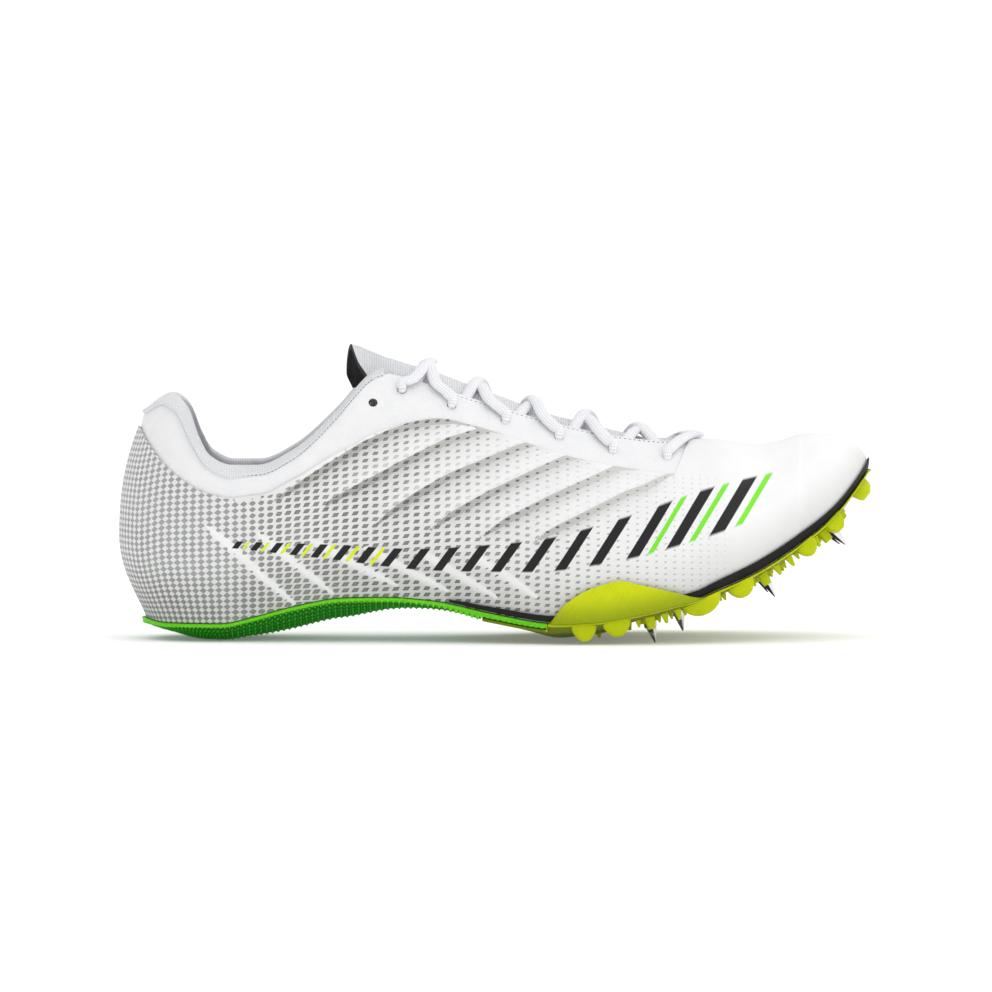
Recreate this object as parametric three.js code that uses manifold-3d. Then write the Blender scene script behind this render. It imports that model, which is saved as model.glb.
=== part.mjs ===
// A track spike shoe for the right foot: a hollow mesh upper with a recessed collar and
// eyestay panel, a bound collar, tongue, insole, black rand, laces, a green heel sole and a
// lime forefoot plate with wings, cleats and screw-in spikes.
// Millimetres, +X to the toe, +Y to the inner side of the foot, +Z up. The origin lies on
// the floor, in the middle of the heel's resting spot.
import * as THREE from "three";
import Module from "manifold-3d";

const wasm = await Module();
wasm.setup();

// Driving sizes of the last
const LENGTH = 280; // from the heel's bulge to the toe cleat
const BALL_WIDTH = 92; // widest breadth of the upper, across the ball
const HEEL_WIDTH = 64; // widest breadth of the upper, across the heel
const INSTEP_HEIGHT = 84; // depth of the upper under the top eyelets
const HEEL_STACK = 7; // height of the sole's top edge under the heel
const ARCH_RISE = 17; // height of the sole's top edge at the waist
const TOE_SPRING = 60; // height of the sole's top edge at the toe tip
const COLLAR_HEIGHT = 90; // height of the upper's rim at the back

// Walls and layers of the upper
const WALL = 2.0; // mesh shell with its lining
const PANEL_STEP = 0.8; // how far the smooth panel lies behind the mesh shell
const PANEL_PUFF = 0.6; // how far the panel's padding swells back out
const COLLAR_PAD = 1.8; // extra padding inside the collar
const MARGIN = 9; // lasting margin, turned in under the foot
const GAP = 0.3; // clearance between neighbouring pieces
const BINDING_HEIGHT = 3.8; // knitted collar binding
const BINDING_SWELL = 0.5; // how far the binding stands out over the rim
const RAND_THICKNESS = 0.6;
const RAND_ROOM = 0.4; // between the rand and the upper, which flares behind it
const INSOLE_THICKNESS = 3;
const TONGUE_THICKNESS = 2.2;
const TONGUE_ROOM = 1.7; // between the tongue and the eyestays over it

// Sole
const SOLE_LEDGE = 1.0; // how far the heel sole stands out past the upper's edge
const LAP_THICKNESS = 2.3; // heel sole's front layer, over the plate
const LAP_START = 97; // rear end of the plate, under the heel sole
const LAP_END = 121; // front end of the heel sole
const PLATE_EDGE = 2.4; // how far the plate stands out past the upper's edge
const WING_THICKNESS = 1.4;
const WING_HEIGHT = 13.8; // highest point of the side wing over the plate's edge
const CLEAT_HEIGHT = 4.8;
const CLEAT_DEPTH = 6;
const TOOTH_HEIGHT = 3.6;
const TOOTH_DEPTH = 3.4;

// Spikes
const SEAT_HEIGHT = 1.6;
const SEAT_RADIUS = 4.2;
const SPIKE_RADIUS = 2.1;
const HEX_RADIUS = 2.6; // corners of the spike's hexagonal base
const SPIKE_LENGTH = 6;
const SPIKE_COLLAR = 1.6;
const SPIKE_POINT = 0.35;

// Laces and eyelets
const EYELET_RADIUS = 1.7;
const LACE_RADIUS = 1.6;
const LACE_LIFT = 0.2; // how high the strands run over the eyestays, on top of GAP

// The upper's cross-sections, from the back of the heel to the tip of the toe. Each stands on
// the spine at `at` (share of LENGTH) and looks along `turn` degrees from straight ahead.
// swing, foot and side are shares of the local breadth, which runs from HEEL_WIDTH to
// BALL_WIDTH with `ball`; foot is the sole edge's distance from the spine and side the widest
// one. up and crown are shares of INSTEP_HEIGHT: how high the widest point and the top lie
// over the sole edge. open is the top's distance from the spine, round and lean shape the
// shoulder under it, and climb is the slope of the ridge there.
const SECTIONS = [
  { at: 0.007, turn: 180, ball: 0, swing: 0, footLat: 0.475, footMed: 0.475, sideLat: 0.63, sideMed: 0.63,
    up: 0.357, crown: 1.1, open: 0.375, round: 0.6, lean: 0.35, climb: 0 },
  { at: 0.007, turn: 150, ball: 0, swing: 0, footLat: 0.46, footMed: 0.46, sideLat: 0.603, sideMed: 0.603,
    up: 0.357, crown: 1.11, open: 0.365, round: 0.58, lean: 0.35, climb: 0 },
  { at: 0.007, turn: 120, ball: 0, swing: 0, footLat: 0.42, footMed: 0.42, sideLat: 0.54, sideMed: 0.54,
    up: 0.35, crown: 1.14, open: 0.355, round: 0.52, lean: 0.35, climb: 0 },
  { at: 0.014, turn: 90, ball: 0, swing: 0, footLat: 0.4, footMed: 0.4, sideLat: 0.5, sideMed: 0.5,
    up: 0.33, crown: 1.18, open: 0.35, round: 0.48, lean: 0.35, climb: 0 },
  { at: 0.107, turn: 90, ball: 0.1, swing: 0, footLat: 0.4, footMed: 0.355, sideLat: 0.49, sideMed: 0.468,
    up: 0.31, crown: 1.22, open: 0.25, round: 0.5, lean: 0.35, climb: 0 },
  { at: 0.2, turn: 90, ball: 0.25, swing: 0, footLat: 0.39, footMed: 0.25, sideLat: 0.467, sideMed: 0.425,
    up: 0.286, crown: 1.06, open: 0, round: 0.62, lean: 0, climb: 0 },
  { at: 0.296, turn: 90, ball: 0.5, swing: 0, footLat: 0.395, footMed: 0.262, sideLat: 0.464, sideMed: 0.417,
    up: 0.262, crown: 0.996, open: 0, round: 0.58, lean: 0, climb: 0 },
  { at: 0.393, turn: 90, ball: 0.8, swing: 0, footLat: 0.432, footMed: 0.342, sideLat: 0.483, sideMed: 0.437,
    up: 0.214, crown: 0.948, open: 0, round: 0.58, lean: 0, climb: 0 },
  { at: 0.482, turn: 90, ball: 1, swing: 0, footLat: 0.458, footMed: 0.415, sideLat: 0.502, sideMed: 0.462,
    up: 0.179, crown: 0.878, open: 0, round: 0.62, lean: 0, climb: 0 },
  { at: 0.571, turn: 90, ball: 1, swing: 0.011, footLat: 0.455, footMed: 0.445, sideLat: 0.5, sideMed: 0.49,
    up: 0.16, crown: 0.77, open: 0, round: 0.66, lean: 0, climb: 0 },
  { at: 0.661, turn: 90, ball: 1, swing: 0.033, footLat: 0.4, footMed: 0.415, sideLat: 0.438, sideMed: 0.45,
    up: 0.137, crown: 0.643, open: 0, round: 0.68, lean: 0, climb: 0 },
  { at: 0.725, turn: 90, ball: 1, swing: 0.054, footLat: 0.34, footMed: 0.362, sideLat: 0.371, sideMed: 0.39,
    up: 0.119, crown: 0.524, open: 0, round: 0.68, lean: 0, climb: 0.05 },
  { at: 0.768, turn: 90, ball: 1, swing: 0.065, footLat: 0.298, footMed: 0.302, sideLat: 0.325, sideMed: 0.325,
    up: 0.107, crown: 0.471, open: 0, round: 0.68, lean: 0, climb: 0.15 },
  { at: 0.768, turn: 60, ball: 1, swing: 0.065, footLat: 0.276, footMed: 0.278, sideLat: 0.297, sideMed: 0.299,
    up: 0.089, crown: 0.471, open: 0, round: 0.68, lean: 0, climb: 0.15 },
  { at: 0.768, turn: 30, ball: 1, swing: 0.065, footLat: 0.268, footMed: 0.268, sideLat: 0.28, sideMed: 0.28,
    up: 0.06, crown: 0.471, open: 0, round: 0.68, lean: 0, climb: 0.15 },
  { at: 0.768, turn: 0, ball: 1, swing: 0.065, footLat: 0.268, footMed: 0.268, sideLat: 0.275, sideMed: 0.275,
    up: 0.048, crown: 0.471, open: 0, round: 0.68, lean: 0, climb: 0.15 },
];

// Side-view lines. at is a share of LENGTH; the other columns are shares of the sizes that
// the line's height adds up from.
const SOLE_EDGE = [
  { at: -0.11, heel: 1.25, arch: 0, toe: 0 },
  { at: -0.07, heel: 1, arch: 0, toe: 0 },
  { at: 0, heel: 1, arch: 0, toe: 0 },
  { at: 0.042, heel: 0.85, arch: 0.2, toe: 0 },
  { at: 0.095, heel: 0.4, arch: 0.62, toe: 0 },
  { at: 0.161, heel: 0, arch: 0.98, toe: 0 },
  { at: 0.22, heel: 0, arch: 1, toe: 0 },
  { at: 0.28, heel: 0, arch: 0.93, toe: 0 },
  { at: 0.36, heel: 0, arch: 0.67, toe: 0 },
  { at: 0.432, heel: 0, arch: 0.48, toe: 0 },
  { at: 0.49, heel: 0, arch: 0.44, toe: 0.02 },
  { at: 0.544, heel: 0, arch: 0.33, toe: 0.09 },
  { at: 0.597, heel: 0, arch: 0.18, toe: 0.19 },
  { at: 0.643, heel: 0, arch: 0, toe: 0.3 },
  { at: 0.703, heel: 0, arch: 0, toe: 0.42 },
  { at: 0.756, heel: 0, arch: 0, toe: 0.567 },
  { at: 0.809, heel: 0, arch: 0, toe: 0.76 },
  { at: 0.843, heel: 0, arch: 0, toe: 0.943 },
  { at: 0.86, heel: 0, arch: 0, toe: 1.05 },
];
// How deep the sole is: under its middle and at its edge, as shares of HEEL_STACK. flat is
// the share of the half-width that stays level.
const SOLE_DEPTH = [
  { at: -0.12, middle: 0.5, edge: 0.4, flat: 0.3 },
  { at: -0.07, middle: 0.68, edge: 0.3, flat: 0.35 },
  { at: -0.03, middle: 0.96, edge: 0.26, flat: 0.42 },
  { at: 0.03, middle: 1.12, edge: 0.26, flat: 0.42 },
  { at: 0.095, middle: 1.36, edge: 0.28, flat: 0.35 },
  { at: 0.16, middle: 1.26, edge: 0.3, flat: 0.3 },
  { at: 0.227, middle: 0.84, edge: 0.32, flat: 0.3 },
  { at: 0.28, middle: 0.66, edge: 0.35, flat: 0.3 },
  { at: 0.346, middle: 0.6, edge: 0.54, flat: 0.3 },
  { at: 0.432, middle: 0.7, edge: 0.5, flat: 0.3 },
  { at: 0.49, middle: 0.6, edge: 0.34, flat: 0.3 },
  { at: 0.544, middle: 0.52, edge: 0.3, flat: 0.35 },
  { at: 0.6, middle: 0.45, edge: 0.26, flat: 0.5 },
  { at: 0.7, middle: 0.4, edge: 0.24, flat: 0.5 },
  { at: 0.86, middle: 0.35, edge: 0.22, flat: 0.5 },
];
// The upper's rim at the collar, from the back of the heel to the top of the eyestay
const COLLAR_LINE = [
  { at: -0.125, collar: 0.94, instep: 0 },
  { at: -0.103, collar: 0.95, instep: 0 },
  { at: -0.076, collar: 1, instep: 0 },
  { at: -0.057, collar: 0.96, instep: 0 },
  { at: -0.037, collar: 0.835, instep: 0 },
  { at: -0.017, collar: 0.742, instep: 0 },
  { at: 0.016, collar: 0.699, instep: 0 },
  { at: 0.049, collar: 0.699, instep: 0 },
  { at: 0.095, collar: 0.5, instep: 0.28 },
  { at: 0.148, collar: 0.2, instep: 0.762 },
  { at: 0.188, collar: 0, instep: 1.131 },
  { at: 0.207, collar: 0, instep: 1.176 },
  { at: 0.227, collar: 0, instep: 1.19 },
  { at: 0.26, collar: 0, instep: 1.2 },
];
// The edge of the mesh shell, over which the smooth panel shows; step is a share of PANEL_STEP
const SHELL_EDGE = [
  { at: -0.14, collar: 0.94, instep: 0, step: 1 },
  { at: -0.116, collar: 0.9, instep: 0, step: 1 },
  { at: -0.096, collar: 0.814, instep: 0, step: 1 },
  { at: -0.07, collar: 0.72, instep: 0, step: 1 },
  { at: -0.05, collar: 0.67, instep: 0, step: 1 },
  { at: -0.017, collar: 0.617, instep: 0, step: 1 },
  { at: 0.016, collar: 0.597, instep: 0, step: 1 },
  { at: 0.049, collar: 0.609, instep: 0, step: 1 },
  { at: 0.095, collar: 0.45, instep: 0.236, step: 1 },
  { at: 0.148, collar: 0.2, instep: 0.61, step: 1 },
  { at: 0.188, collar: 0, instep: 0.894, step: 1 },
  { at: 0.227, collar: 0, instep: 0.948, step: 0.8 },
  { at: 0.287, collar: 0, instep: 0.987, step: 0.5 },
  { at: 0.342, collar: 0, instep: 0.948, step: 0.45 },
  { at: 0.46, collar: 0, instep: 0.824, step: 0.45 },
  { at: 0.523, collar: 0, instep: 0.78, step: 0.4 },
  { at: 0.611, collar: 0, instep: 0.744, step: 0 },
  { at: 0.725, collar: 0, instep: 0.75, step: 0 },
  { at: 0.82, collar: 0, instep: 0.81, step: 0 },
  { at: 0.86, collar: 0, instep: 0.83, step: 0 },
];
// Where the collar's line has ended, and the rim is the throat's edge
const COLLAR_FRONT = 0.26;
// Half the throat's breadth, as a share of BALL_WIDTH; it closes at the vamp point
const VAMP_POINT = 0.628;
const THROAT = [
  { at: 0.1, half: 0.135 },
  { at: 0.214, half: 0.135 },
  { at: 0.32, half: 0.15 },
  { at: 0.42, half: 0.155 },
  { at: 0.5, half: 0.175 },
  { at: 0.575, half: 0.168 },
  { at: 0.607, half: 0.135 },
  { at: 0.62, half: 0.085 },
  { at: VAMP_POINT, half: 0 },
];
// Eyelets down each side; inset is their distance from the throat's edge, as a share of
// BALL_WIDTH. The first one stays empty.
const EYELETS = [
  { at: 0.202, inset: 0.105 },
  { at: 0.24, inset: 0.058 },
  { at: 0.306, inset: 0.062 },
  { at: 0.377, inset: 0.066 },
  { at: 0.448, inset: 0.08 },
  { at: 0.519, inset: 0.097 },
  { at: 0.591, inset: 0.118 },
];
// The side wing's upper edge, as a share of WING_HEIGHT
const WING = [
  { at: LAP_END / LENGTH, high: 0 },
  { at: 0.457, high: 0.58 },
  { at: 0.491, high: 0.91 },
  { at: 0.521, high: 1 },
  { at: 0.557, high: 0.78 },
  { at: 0.597, high: 0.43 },
  { at: 0.632, high: 0.12 },
  { at: 0.65, high: 0 },
];
const TONGUE_FREE = 0.225; // where the tongue leaves the throat, as a share of LENGTH
// The tongue, from its free end to under the vamp: half its breadth as a share of BALL_WIDTH,
// how far its middle bulges over the last, and how far the whole of it stands up past the
// throat, as shares of INSTEP_HEIGHT
const TONGUE = [
  { at: 0.172, half: 0.145, lift: 0.04, raise: 0.07 },
  { at: 0.186, half: 0.125, lift: 0.05, raise: 0.045 },
  { at: 0.2, half: 0.12, lift: 0.06, raise: 0.015 },
  { at: 0.225, half: 0.16, lift: 0.045, raise: 0 },
  { at: 0.25, half: 0.23, lift: 0.04, raise: 0 },
  { at: 0.3, half: 0.26, lift: 0.035, raise: 0 },
  { at: 0.5, half: 0.24, lift: 0.02, raise: 0 },
  { at: 0.6, half: 0.18, lift: 0.008, raise: -0.008 },
  { at: 0.642, half: 0.12, lift: 0, raise: -0.004 },
];
// The rand's upper edge, in millimetres over the sole edge
const RAND_BAND = [
  { at: 0.3, high: 1.2 },
  { at: 0.33, high: 1.8 },
  { at: 0.4, high: 2.4 },
  { at: 0.6, high: 2.6 },
  { at: 0.7, high: 3.4 },
  { at: 0.86, high: 3.4 },
];
// Big cleats along the plate's edge, as shares of LENGTH
const CLEATS = [
  { at: 0.481, wide: 0.037 },
  { at: 0.524, wide: 0.042 },
  { at: 0.637, wide: 0.055 },
  { at: 0.688, wide: 0.039 },
  { at: 0.776, wide: 0.032 },
  { at: 0.817, wide: 0.03 },
  { at: 0.848, wide: 0.032 },
];
// Teeth between them and in inner rows; row is a share of the plate's half-width there
const TEETH = [
  { at: 0.567, row: 0.93 },
  { at: 0.585, row: 0.9 },
  { at: 0.603, row: 0.93 },
  { at: 0.716, row: 0.93 },
  { at: 0.735, row: 0.9 },
  { at: 0.752, row: 0.93 },
  { at: 0.797, row: 0.9 },
  { at: 0.5, row: 0.5 },
  { at: 0.54, row: 0.3 },
  { at: 0.64, row: 0.4 },
  { at: 0.68, row: 0.3 },
  { at: 0.74, row: 0.35 },
];
// Spikes: across is a share of the plate's half-width, to the inner side
const SPIKES = [
  { name: "spike_rear_outer", at: 0.567, across: -0.66, onFloor: true },
  { name: "spike_rear_inner", at: 0.567, across: 0.66, onFloor: true },
  { name: "spike_centre", at: 0.606, across: 0, onFloor: false },
  { name: "spike_middle_outer", at: 0.718, across: -0.62, onFloor: false },
  { name: "spike_middle_inner", at: 0.713, across: 0.62, onFloor: false },
  { name: "spike_front_outer", at: 0.806, across: -0.42, onFloor: false },
  { name: "spike_front_inner", at: 0.802, across: 0.42, onFloor: false },
];

const OUTER_SIDE = -1;
const INNER_SIDE = 1;
const SIDES = [OUTER_SIDE, INNER_SIDE];

const mix = (a, b, share) => a + (b - a) * share;
const clamp = (value, low, high) => Math.min(high, Math.max(low, value));
const radians = THREE.MathUtils.degToRad;

// A smooth curve through points that never swings past them. Level ends suit a line that
// is mirrored on the other side of its first and last point.
function smooth(xs, ys, levelEnds = false) {
  const last = xs.length - 1;
  const step = xs.slice(1).map((x, i) => x - xs[i]);
  const slope = step.map((h, i) => (ys[i + 1] - ys[i]) / h);
  const grade = ys.map((_, i) => {
    if (i === 0 || i === last) return levelEnds ? 0 : slope[Math.min(i, last - 1)];
    if (slope[i - 1] * slope[i] <= 0) return 0;
    const before = (2 * step[i] + step[i - 1]) / slope[i - 1];
    const after = (step[i] + 2 * step[i - 1]) / slope[i];
    return (3 * (step[i - 1] + step[i])) / (before + after);
  });
  return (x) => {
    const inside = clamp(x, xs[0], xs[last]);
    let i = 0;
    while (i < last - 1 && inside > xs[i + 1]) i += 1;
    const t = (inside - xs[i]) / step[i];
    const rise = ys[i + 1] - ys[i];
    const start = grade[i] * step[i];
    const end = grade[i + 1] * step[i];
    return ys[i] + t * (start + t * (3 * rise - 2 * start - end + t * (start + end - 2 * rise)));
  };
}

// One column of a side-view table as a function of x in millimetres
function line(table, column) {
  const curve = smooth(table.map((row) => row.at), table.map((row) => row[column]));
  return (x) => curve(x / LENGTH);
}

const columns = Object.fromEntries(
  Object.keys(SECTIONS[0]).map((name) => [
    name,
    smooth(SECTIONS.map((_, i) => i), SECTIONS.map((row) => row[name]), true),
  ]),
);

const soleHeel = line(SOLE_EDGE, "heel");
const soleArch = line(SOLE_EDGE, "arch");
const soleToe = line(SOLE_EDGE, "toe");
const soleEdge = (x) => HEEL_STACK * soleHeel(x) + ARCH_RISE * soleArch(x) + TOE_SPRING * soleToe(x);

const collarBack = line(COLLAR_LINE, "collar");
const collarFront = line(COLLAR_LINE, "instep");
const collarLine = (x) => COLLAR_HEIGHT * collarBack(x) + INSTEP_HEIGHT * collarFront(x);

const shellBack = line(SHELL_EDGE, "collar");
const shellFront = line(SHELL_EDGE, "instep");
const shellStep = line(SHELL_EDGE, "step");
const shellEdge = (x) => COLLAR_HEIGHT * shellBack(x) + INSTEP_HEIGHT * shellFront(x);

const throatShare = line(THROAT, "half");
const throatHalf = (x) => BALL_WIDTH * throatShare(x);
const vampX = VAMP_POINT * LENGTH;

const depthMiddle = line(SOLE_DEPTH, "middle");
const depthEdge = line(SOLE_DEPTH, "edge");
const depthFlat = line(SOLE_DEPTH, "flat");

// Everything about the cross-section at station s, on one side of the shoe
function section(side, s) {
  const value = (name) => columns[name](s);
  const breadth = mix(HEEL_WIDTH, BALL_WIDTH, value("ball"));
  const turn = radians(value("turn"));
  const x = value("at") * LENGTH;
  const foot = breadth * value(side < 0 ? "footLat" : "footMed");
  const ahead = Math.cos(turn);
  return {
    side,
    s,
    x,
    y: value("swing") * breadth,
    ahead,
    aside: side * Math.sin(turn),
    foot,
    wide: breadth * value(side < 0 ? "sideLat" : "sideMed"),
    up: INSTEP_HEIGHT * value("up"),
    top: soleEdge(x) + INSTEP_HEIGHT * value("crown"),
    open: breadth * value("open"),
    round: value("round"),
    lean: value("lean"),
    climb: value("climb") * ahead,
  };
}

const place = (cut, r, z) => new THREE.Vector3(cut.x + cut.ahead * r, cut.y + cut.aside * r, z);
const xAt = (cut, r) => cut.x + cut.ahead * r;

function bezier(a, b, c, d, t) {
  const u = 1 - t;
  return u * u * u * a + 3 * u * u * t * b + 3 * u * t * t * c + t * t * t * d;
}

// The last's side in a section, as [distance from the spine, height]. t runs from the sole
// edge at 0 over the widest point at WIDEST to the top at 1; out moves it off the last.
const WIDEST = 0.4;
const EDGE_HANDLE = 0.2; // how soon the side leaves the sole edge's slope
const SIDE_HANDLE = 0.45; // how long it stays upright, under and over the widest point
function profile(cut, t, out = 0) {
  const foot = cut.foot + out;
  const wide = cut.wide + out;
  const open = cut.open > 0 ? cut.open + out : 0;
  const floor = soleEdge(xAt(cut, foot));
  const middle = floor + cut.up;
  const top = cut.top + out;
  if (t <= WIDEST) {
    const share = t / WIDEST;
    const low = floor - out;
    return [
      bezier(foot, mix(foot, wide, EDGE_HANDLE), wide, wide, share),
      bezier(low, mix(low, middle, EDGE_HANDLE), mix(middle, low, SIDE_HANDLE), middle, share),
    ];
  }
  const share = (t - WIDEST) / (1 - WIDEST);
  const shoulder = mix(open, wide, cut.round);
  return [
    bezier(wide, wide, shoulder, open, share),
    bezier(
      middle,
      mix(middle, top, SIDE_HANDLE),
      mix(top, middle, cut.lean) + cut.climb * shoulder,
      top,
      share,
    ),
  ];
}

// The first t at which the side passes a test, or `none` where it never does
function reach(cut, test, none = 1, from = 0) {
  const STEPS = 60;
  for (let i = 1 + Math.round(from * STEPS); i <= STEPS; i += 1) {
    if (!test(...profile(cut, i / STEPS))) continue;
    let low = (i - 1) / STEPS;
    let high = i / STEPS;
    for (let halving = 0; halving < 24; halving += 1) {
      const middle = (low + high) / 2;
      if (test(...profile(cut, middle))) high = middle;
      else low = middle;
    }
    return high;
  }
  return none;
}

// The t at which the outside ends, at the collar's line or the throat's edge
function rimAt(cut) {
  const collar = reach(cut, (r, z) => z > collarLine(xAt(cut, r)) && cut.x < COLLAR_FRONT * LENGTH);
  if (cut.x >= vampX) return 1;
  return Math.min(collar, reach(cut, (r) => r < throatHalf(cut.x), 1, WIDEST));
}

// The t at which the mesh shell gives way to the smooth panel, as shares of the rim's t:
// where its line passes over the section, and how close to the rim it may come
const EDGE_ELSE = 0.85;
const EDGE_HIGHEST = 0.94;
function shellEdgeAt(cut, rim) {
  const edge = reach(cut, (r, z) => z > shellEdge(xAt(cut, r)), EDGE_ELSE * rim);
  return Math.min(edge, EDGE_HIGHEST * rim);
}

// The station whose spine point lies at x, between the heel's and the toe's turning sections
const FIRST_STRAIGHT = SECTIONS.findIndex((row) => row.turn === 90);
const LAST_STRAIGHT = SECTIONS.findLastIndex((row) => row.turn === 90);
function stationAt(x) {
  let low = FIRST_STRAIGHT;
  let high = LAST_STRAIGHT;
  for (let halving = 0; halving < 30; halving += 1) {
    const middle = (low + high) / 2;
    if (columns.at(middle) * LENGTH < x) low = middle;
    else high = middle;
  }
  return (low + high) / 2;
}

const between = (from, to, steps) =>
  Array.from({ length: steps + 1 }, (_, i) => mix(from, to, i / steps));
const unique = (list) => [...new Set(list.map((v) => Number(v.toFixed(6))))].sort((a, b) => a - b);
const TINY = 0.01; // rounding of stations and lengths, which isn't taken for a difference
const ROOM = 0.1; // stations closer than this to an end of a piece give way to it

// A surface that is put together from strips of points; corners at one place become one
class Skin {
  constructor() {
    this.corners = [];
    this.faces = [];
    this.known = new Map();
  }
  corner(p) {
    const key = [p.x, p.y, p.z].map((v) => Math.round(v * 1000)).join();
    if (!this.known.has(key)) {
      this.known.set(key, this.corners.length / 3);
      this.corners.push(p.x, p.y, p.z);
    }
    return this.known.get(key);
  }
  triangle(a, b, c) {
    const face = [a, b, c].map((p) => this.corner(p));
    if (new Set(face).size === 3) this.faces.push(...face);
  }
  // Joins two rows with as many points each. skip names the gaps between points left open,
  // and crossed takes the other diagonal, so that facing skins fold the same way.
  strip(one, other, { skip = [], crossed = false } = {}) {
    for (let i = 0; i < one.length - 1; i += 1) {
      if (skip.includes(i)) continue;
      this.triangle(one[i], other[i], crossed ? one[i + 1] : other[i + 1]);
      this.triangle(crossed ? other[i] : one[i], other[i + 1], one[i + 1]);
    }
  }
  // The same strip on the outer side and, the other way round, on the inner side
  sidedStrip(side, one, other, options) {
    if (side === OUTER_SIDE) this.strip(one, other, options);
    else this.strip(other, one, options);
  }
  solid() {
    const build = (triVerts) =>
      new wasm.Manifold(
        new wasm.Mesh({ numProp: 3, vertProperties: new Float32Array(this.corners), triVerts }),
      );
    const made = build(new Uint32Array(this.faces));
    if (made.volume() > 0) return made;
    return build(new Uint32Array([...this.faces].reverse()));
  }
}

function solidOf(geometry) {
  const skin = new Skin();
  const at = geometry.toNonIndexed().getAttribute("position");
  const corner = (i) => new THREE.Vector3().fromBufferAttribute(at, i);
  for (let i = 0; i < at.count; i += 3) skin.triangle(corner(i), corner(i + 1), corner(i + 2));
  return skin.solid();
}

function geometryOf(solid) {
  const { vertProperties, triVerts, numProp } = solid.getMesh();
  const corners = new Float32Array((vertProperties.length / numProp) * 3);
  for (let i = 0; i < corners.length / 3; i += 1)
    corners.set(vertProperties.slice(i * numProp, i * numProp + 3), i * 3);
  const geometry = new THREE.BufferGeometry();
  geometry.setAttribute("position", new THREE.BufferAttribute(corners, 3));
  geometry.setIndex(new THREE.BufferAttribute(new Uint32Array(triVerts), 1));
  geometry.computeVertexNormals();
  return geometry;
}

const material = (color, roughness, metalness = 0) =>
  new THREE.MeshStandardMaterial({ color, roughness, metalness });
const MATERIALS = {
  mesh: material(0xd9dad8, 0.85),
  knit: material(0xf4f5f6, 0.9),
  rand: material(0x17181a, 0.5),
  lace: material(0xf7f7f8, 0.8),
  foam: material(0x32b81a, 0.7),
  plate: material(0xc4d80a, 0.35),
  insole: material(0xe8e9e8, 0.9),
  steel: material(0xb8babd, 0.2, 1),
};

const shoe = new THREE.Group();
function add(name, solid, look) {
  const mesh = new THREE.Mesh(geometryOf(solid), MATERIALS[look]);
  mesh.name = name;
  shoe.add(mesh);
}

// Stations round the whole shoe, thicker where the outline turns
const STATIONS = unique([
  ...between(0, FIRST_STRAIGHT, 6),
  ...between(FIRST_STRAIGHT, stationAt(0.6 * LENGTH), 15),
  stationAt(0.607 * LENGTH),
  stationAt(0.62 * LENGTH),
  stationAt(vampX),
  ...between(stationAt(vampX), LAST_STRAIGHT, 4),
  ...between(LAST_STRAIGHT, SECTIONS.length - 1, 5),
]);

// Upper: mesh shell, recessed panel and lining as one hollow wall, open at the collar and
// throat and, inside the lasting margin, underneath
const SHELL_ROWS = 7;
const PANEL_ROWS = 4;
const LINING_ROWS = 7;

function panelOut(cut, share) {
  const x = xAt(cut, cut.wide);
  return (PANEL_PUFF * Math.sin(Math.PI * share) - PANEL_STEP) * shellStep(x);
}

// The collar's padding starts part of the way up the lining and fades out ahead of the ankle
const PAD_FROM = 0.545;
const PAD_END = 0.2;
const PAD_FADE = 0.04;
function padAt(cut, share) {
  const fade = clamp((PAD_END - cut.x / LENGTH) / PAD_FADE, 0, 1);
  const risen = clamp((share - PAD_FROM) / (1 - PAD_FROM), 0, 1);
  return COLLAR_PAD * fade * Math.sin((Math.PI / 2) * risen);
}

function upperLine(cut) {
  const rim = rimAt(cut);
  const edge = shellEdgeAt(cut, rim);
  const at = (t, out) => place(cut, ...profile(cut, t, out));
  const inward = cut.foot - MARGIN;
  const marginLow = place(cut, inward, soleEdge(xAt(cut, inward)));
  const marginHigh = place(cut, inward, soleEdge(xAt(cut, inward)) + WALL);
  const outside = [
    marginLow,
    ...between(0, edge, SHELL_ROWS).map((t) => at(t, 0)),
    ...between(0, 1, PANEL_ROWS).map((share) => at(mix(edge, rim, share), panelOut(cut, share))),
  ];
  const inside = between(1, 0, LINING_ROWS).map((share) => at(rim * share, -WALL - padAt(cut, share)));
  return { points: [...outside, ...inside, marginHigh, marginLow], rimGap: outside.length - 1 };
}

function makeUpper() {
  const skin = new Skin();
  for (const side of SIDES) {
    const lines = STATIONS.map((s) => upperLine(section(side, s)));
    const closed = STATIONS.map((s) => section(side, s).x >= vampX - TINY);
    for (let i = 0; i < lines.length - 1; i += 1) {
      const skip = closed[i] ? [lines[i].rimGap] : [];
      skin.sidedStrip(side, lines[i].points, lines[i + 1].points, { skip });
    }
  }
  return skin.solid();
}

// A point on the outside of the eyestay, with the direction that leads away from it
function eyestayPoint(side, x, fromThroat, out = 0) {
  const cut = section(side, stationAt(x));
  const t = reach(cut, (r) => r < throatHalf(x) + fromThroat, 1, WIDEST);
  const point = place(cut, ...profile(cut, t));
  const up = place(cut, ...profile(cut, t + TINY)).sub(point);
  const next = section(side, stationAt(x + 1));
  const along = place(next, ...profile(next, t)).sub(point);
  const away = new THREE.Vector3().crossVectors(along, up).multiplyScalar(-side).normalize();
  if (away.z < 0) away.negate();
  return { point: point.addScaledVector(away, out), away };
}

function rod(radius, length, sides, centre, direction) {
  const geometry = new THREE.CylinderGeometry(radius, radius, length, sides);
  const turn = new THREE.Quaternion().setFromUnitVectors(new THREE.Vector3(0, 1, 0), direction);
  return solidOf(geometry.applyQuaternion(turn).translate(centre.x, centre.y, centre.z));
}

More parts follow.
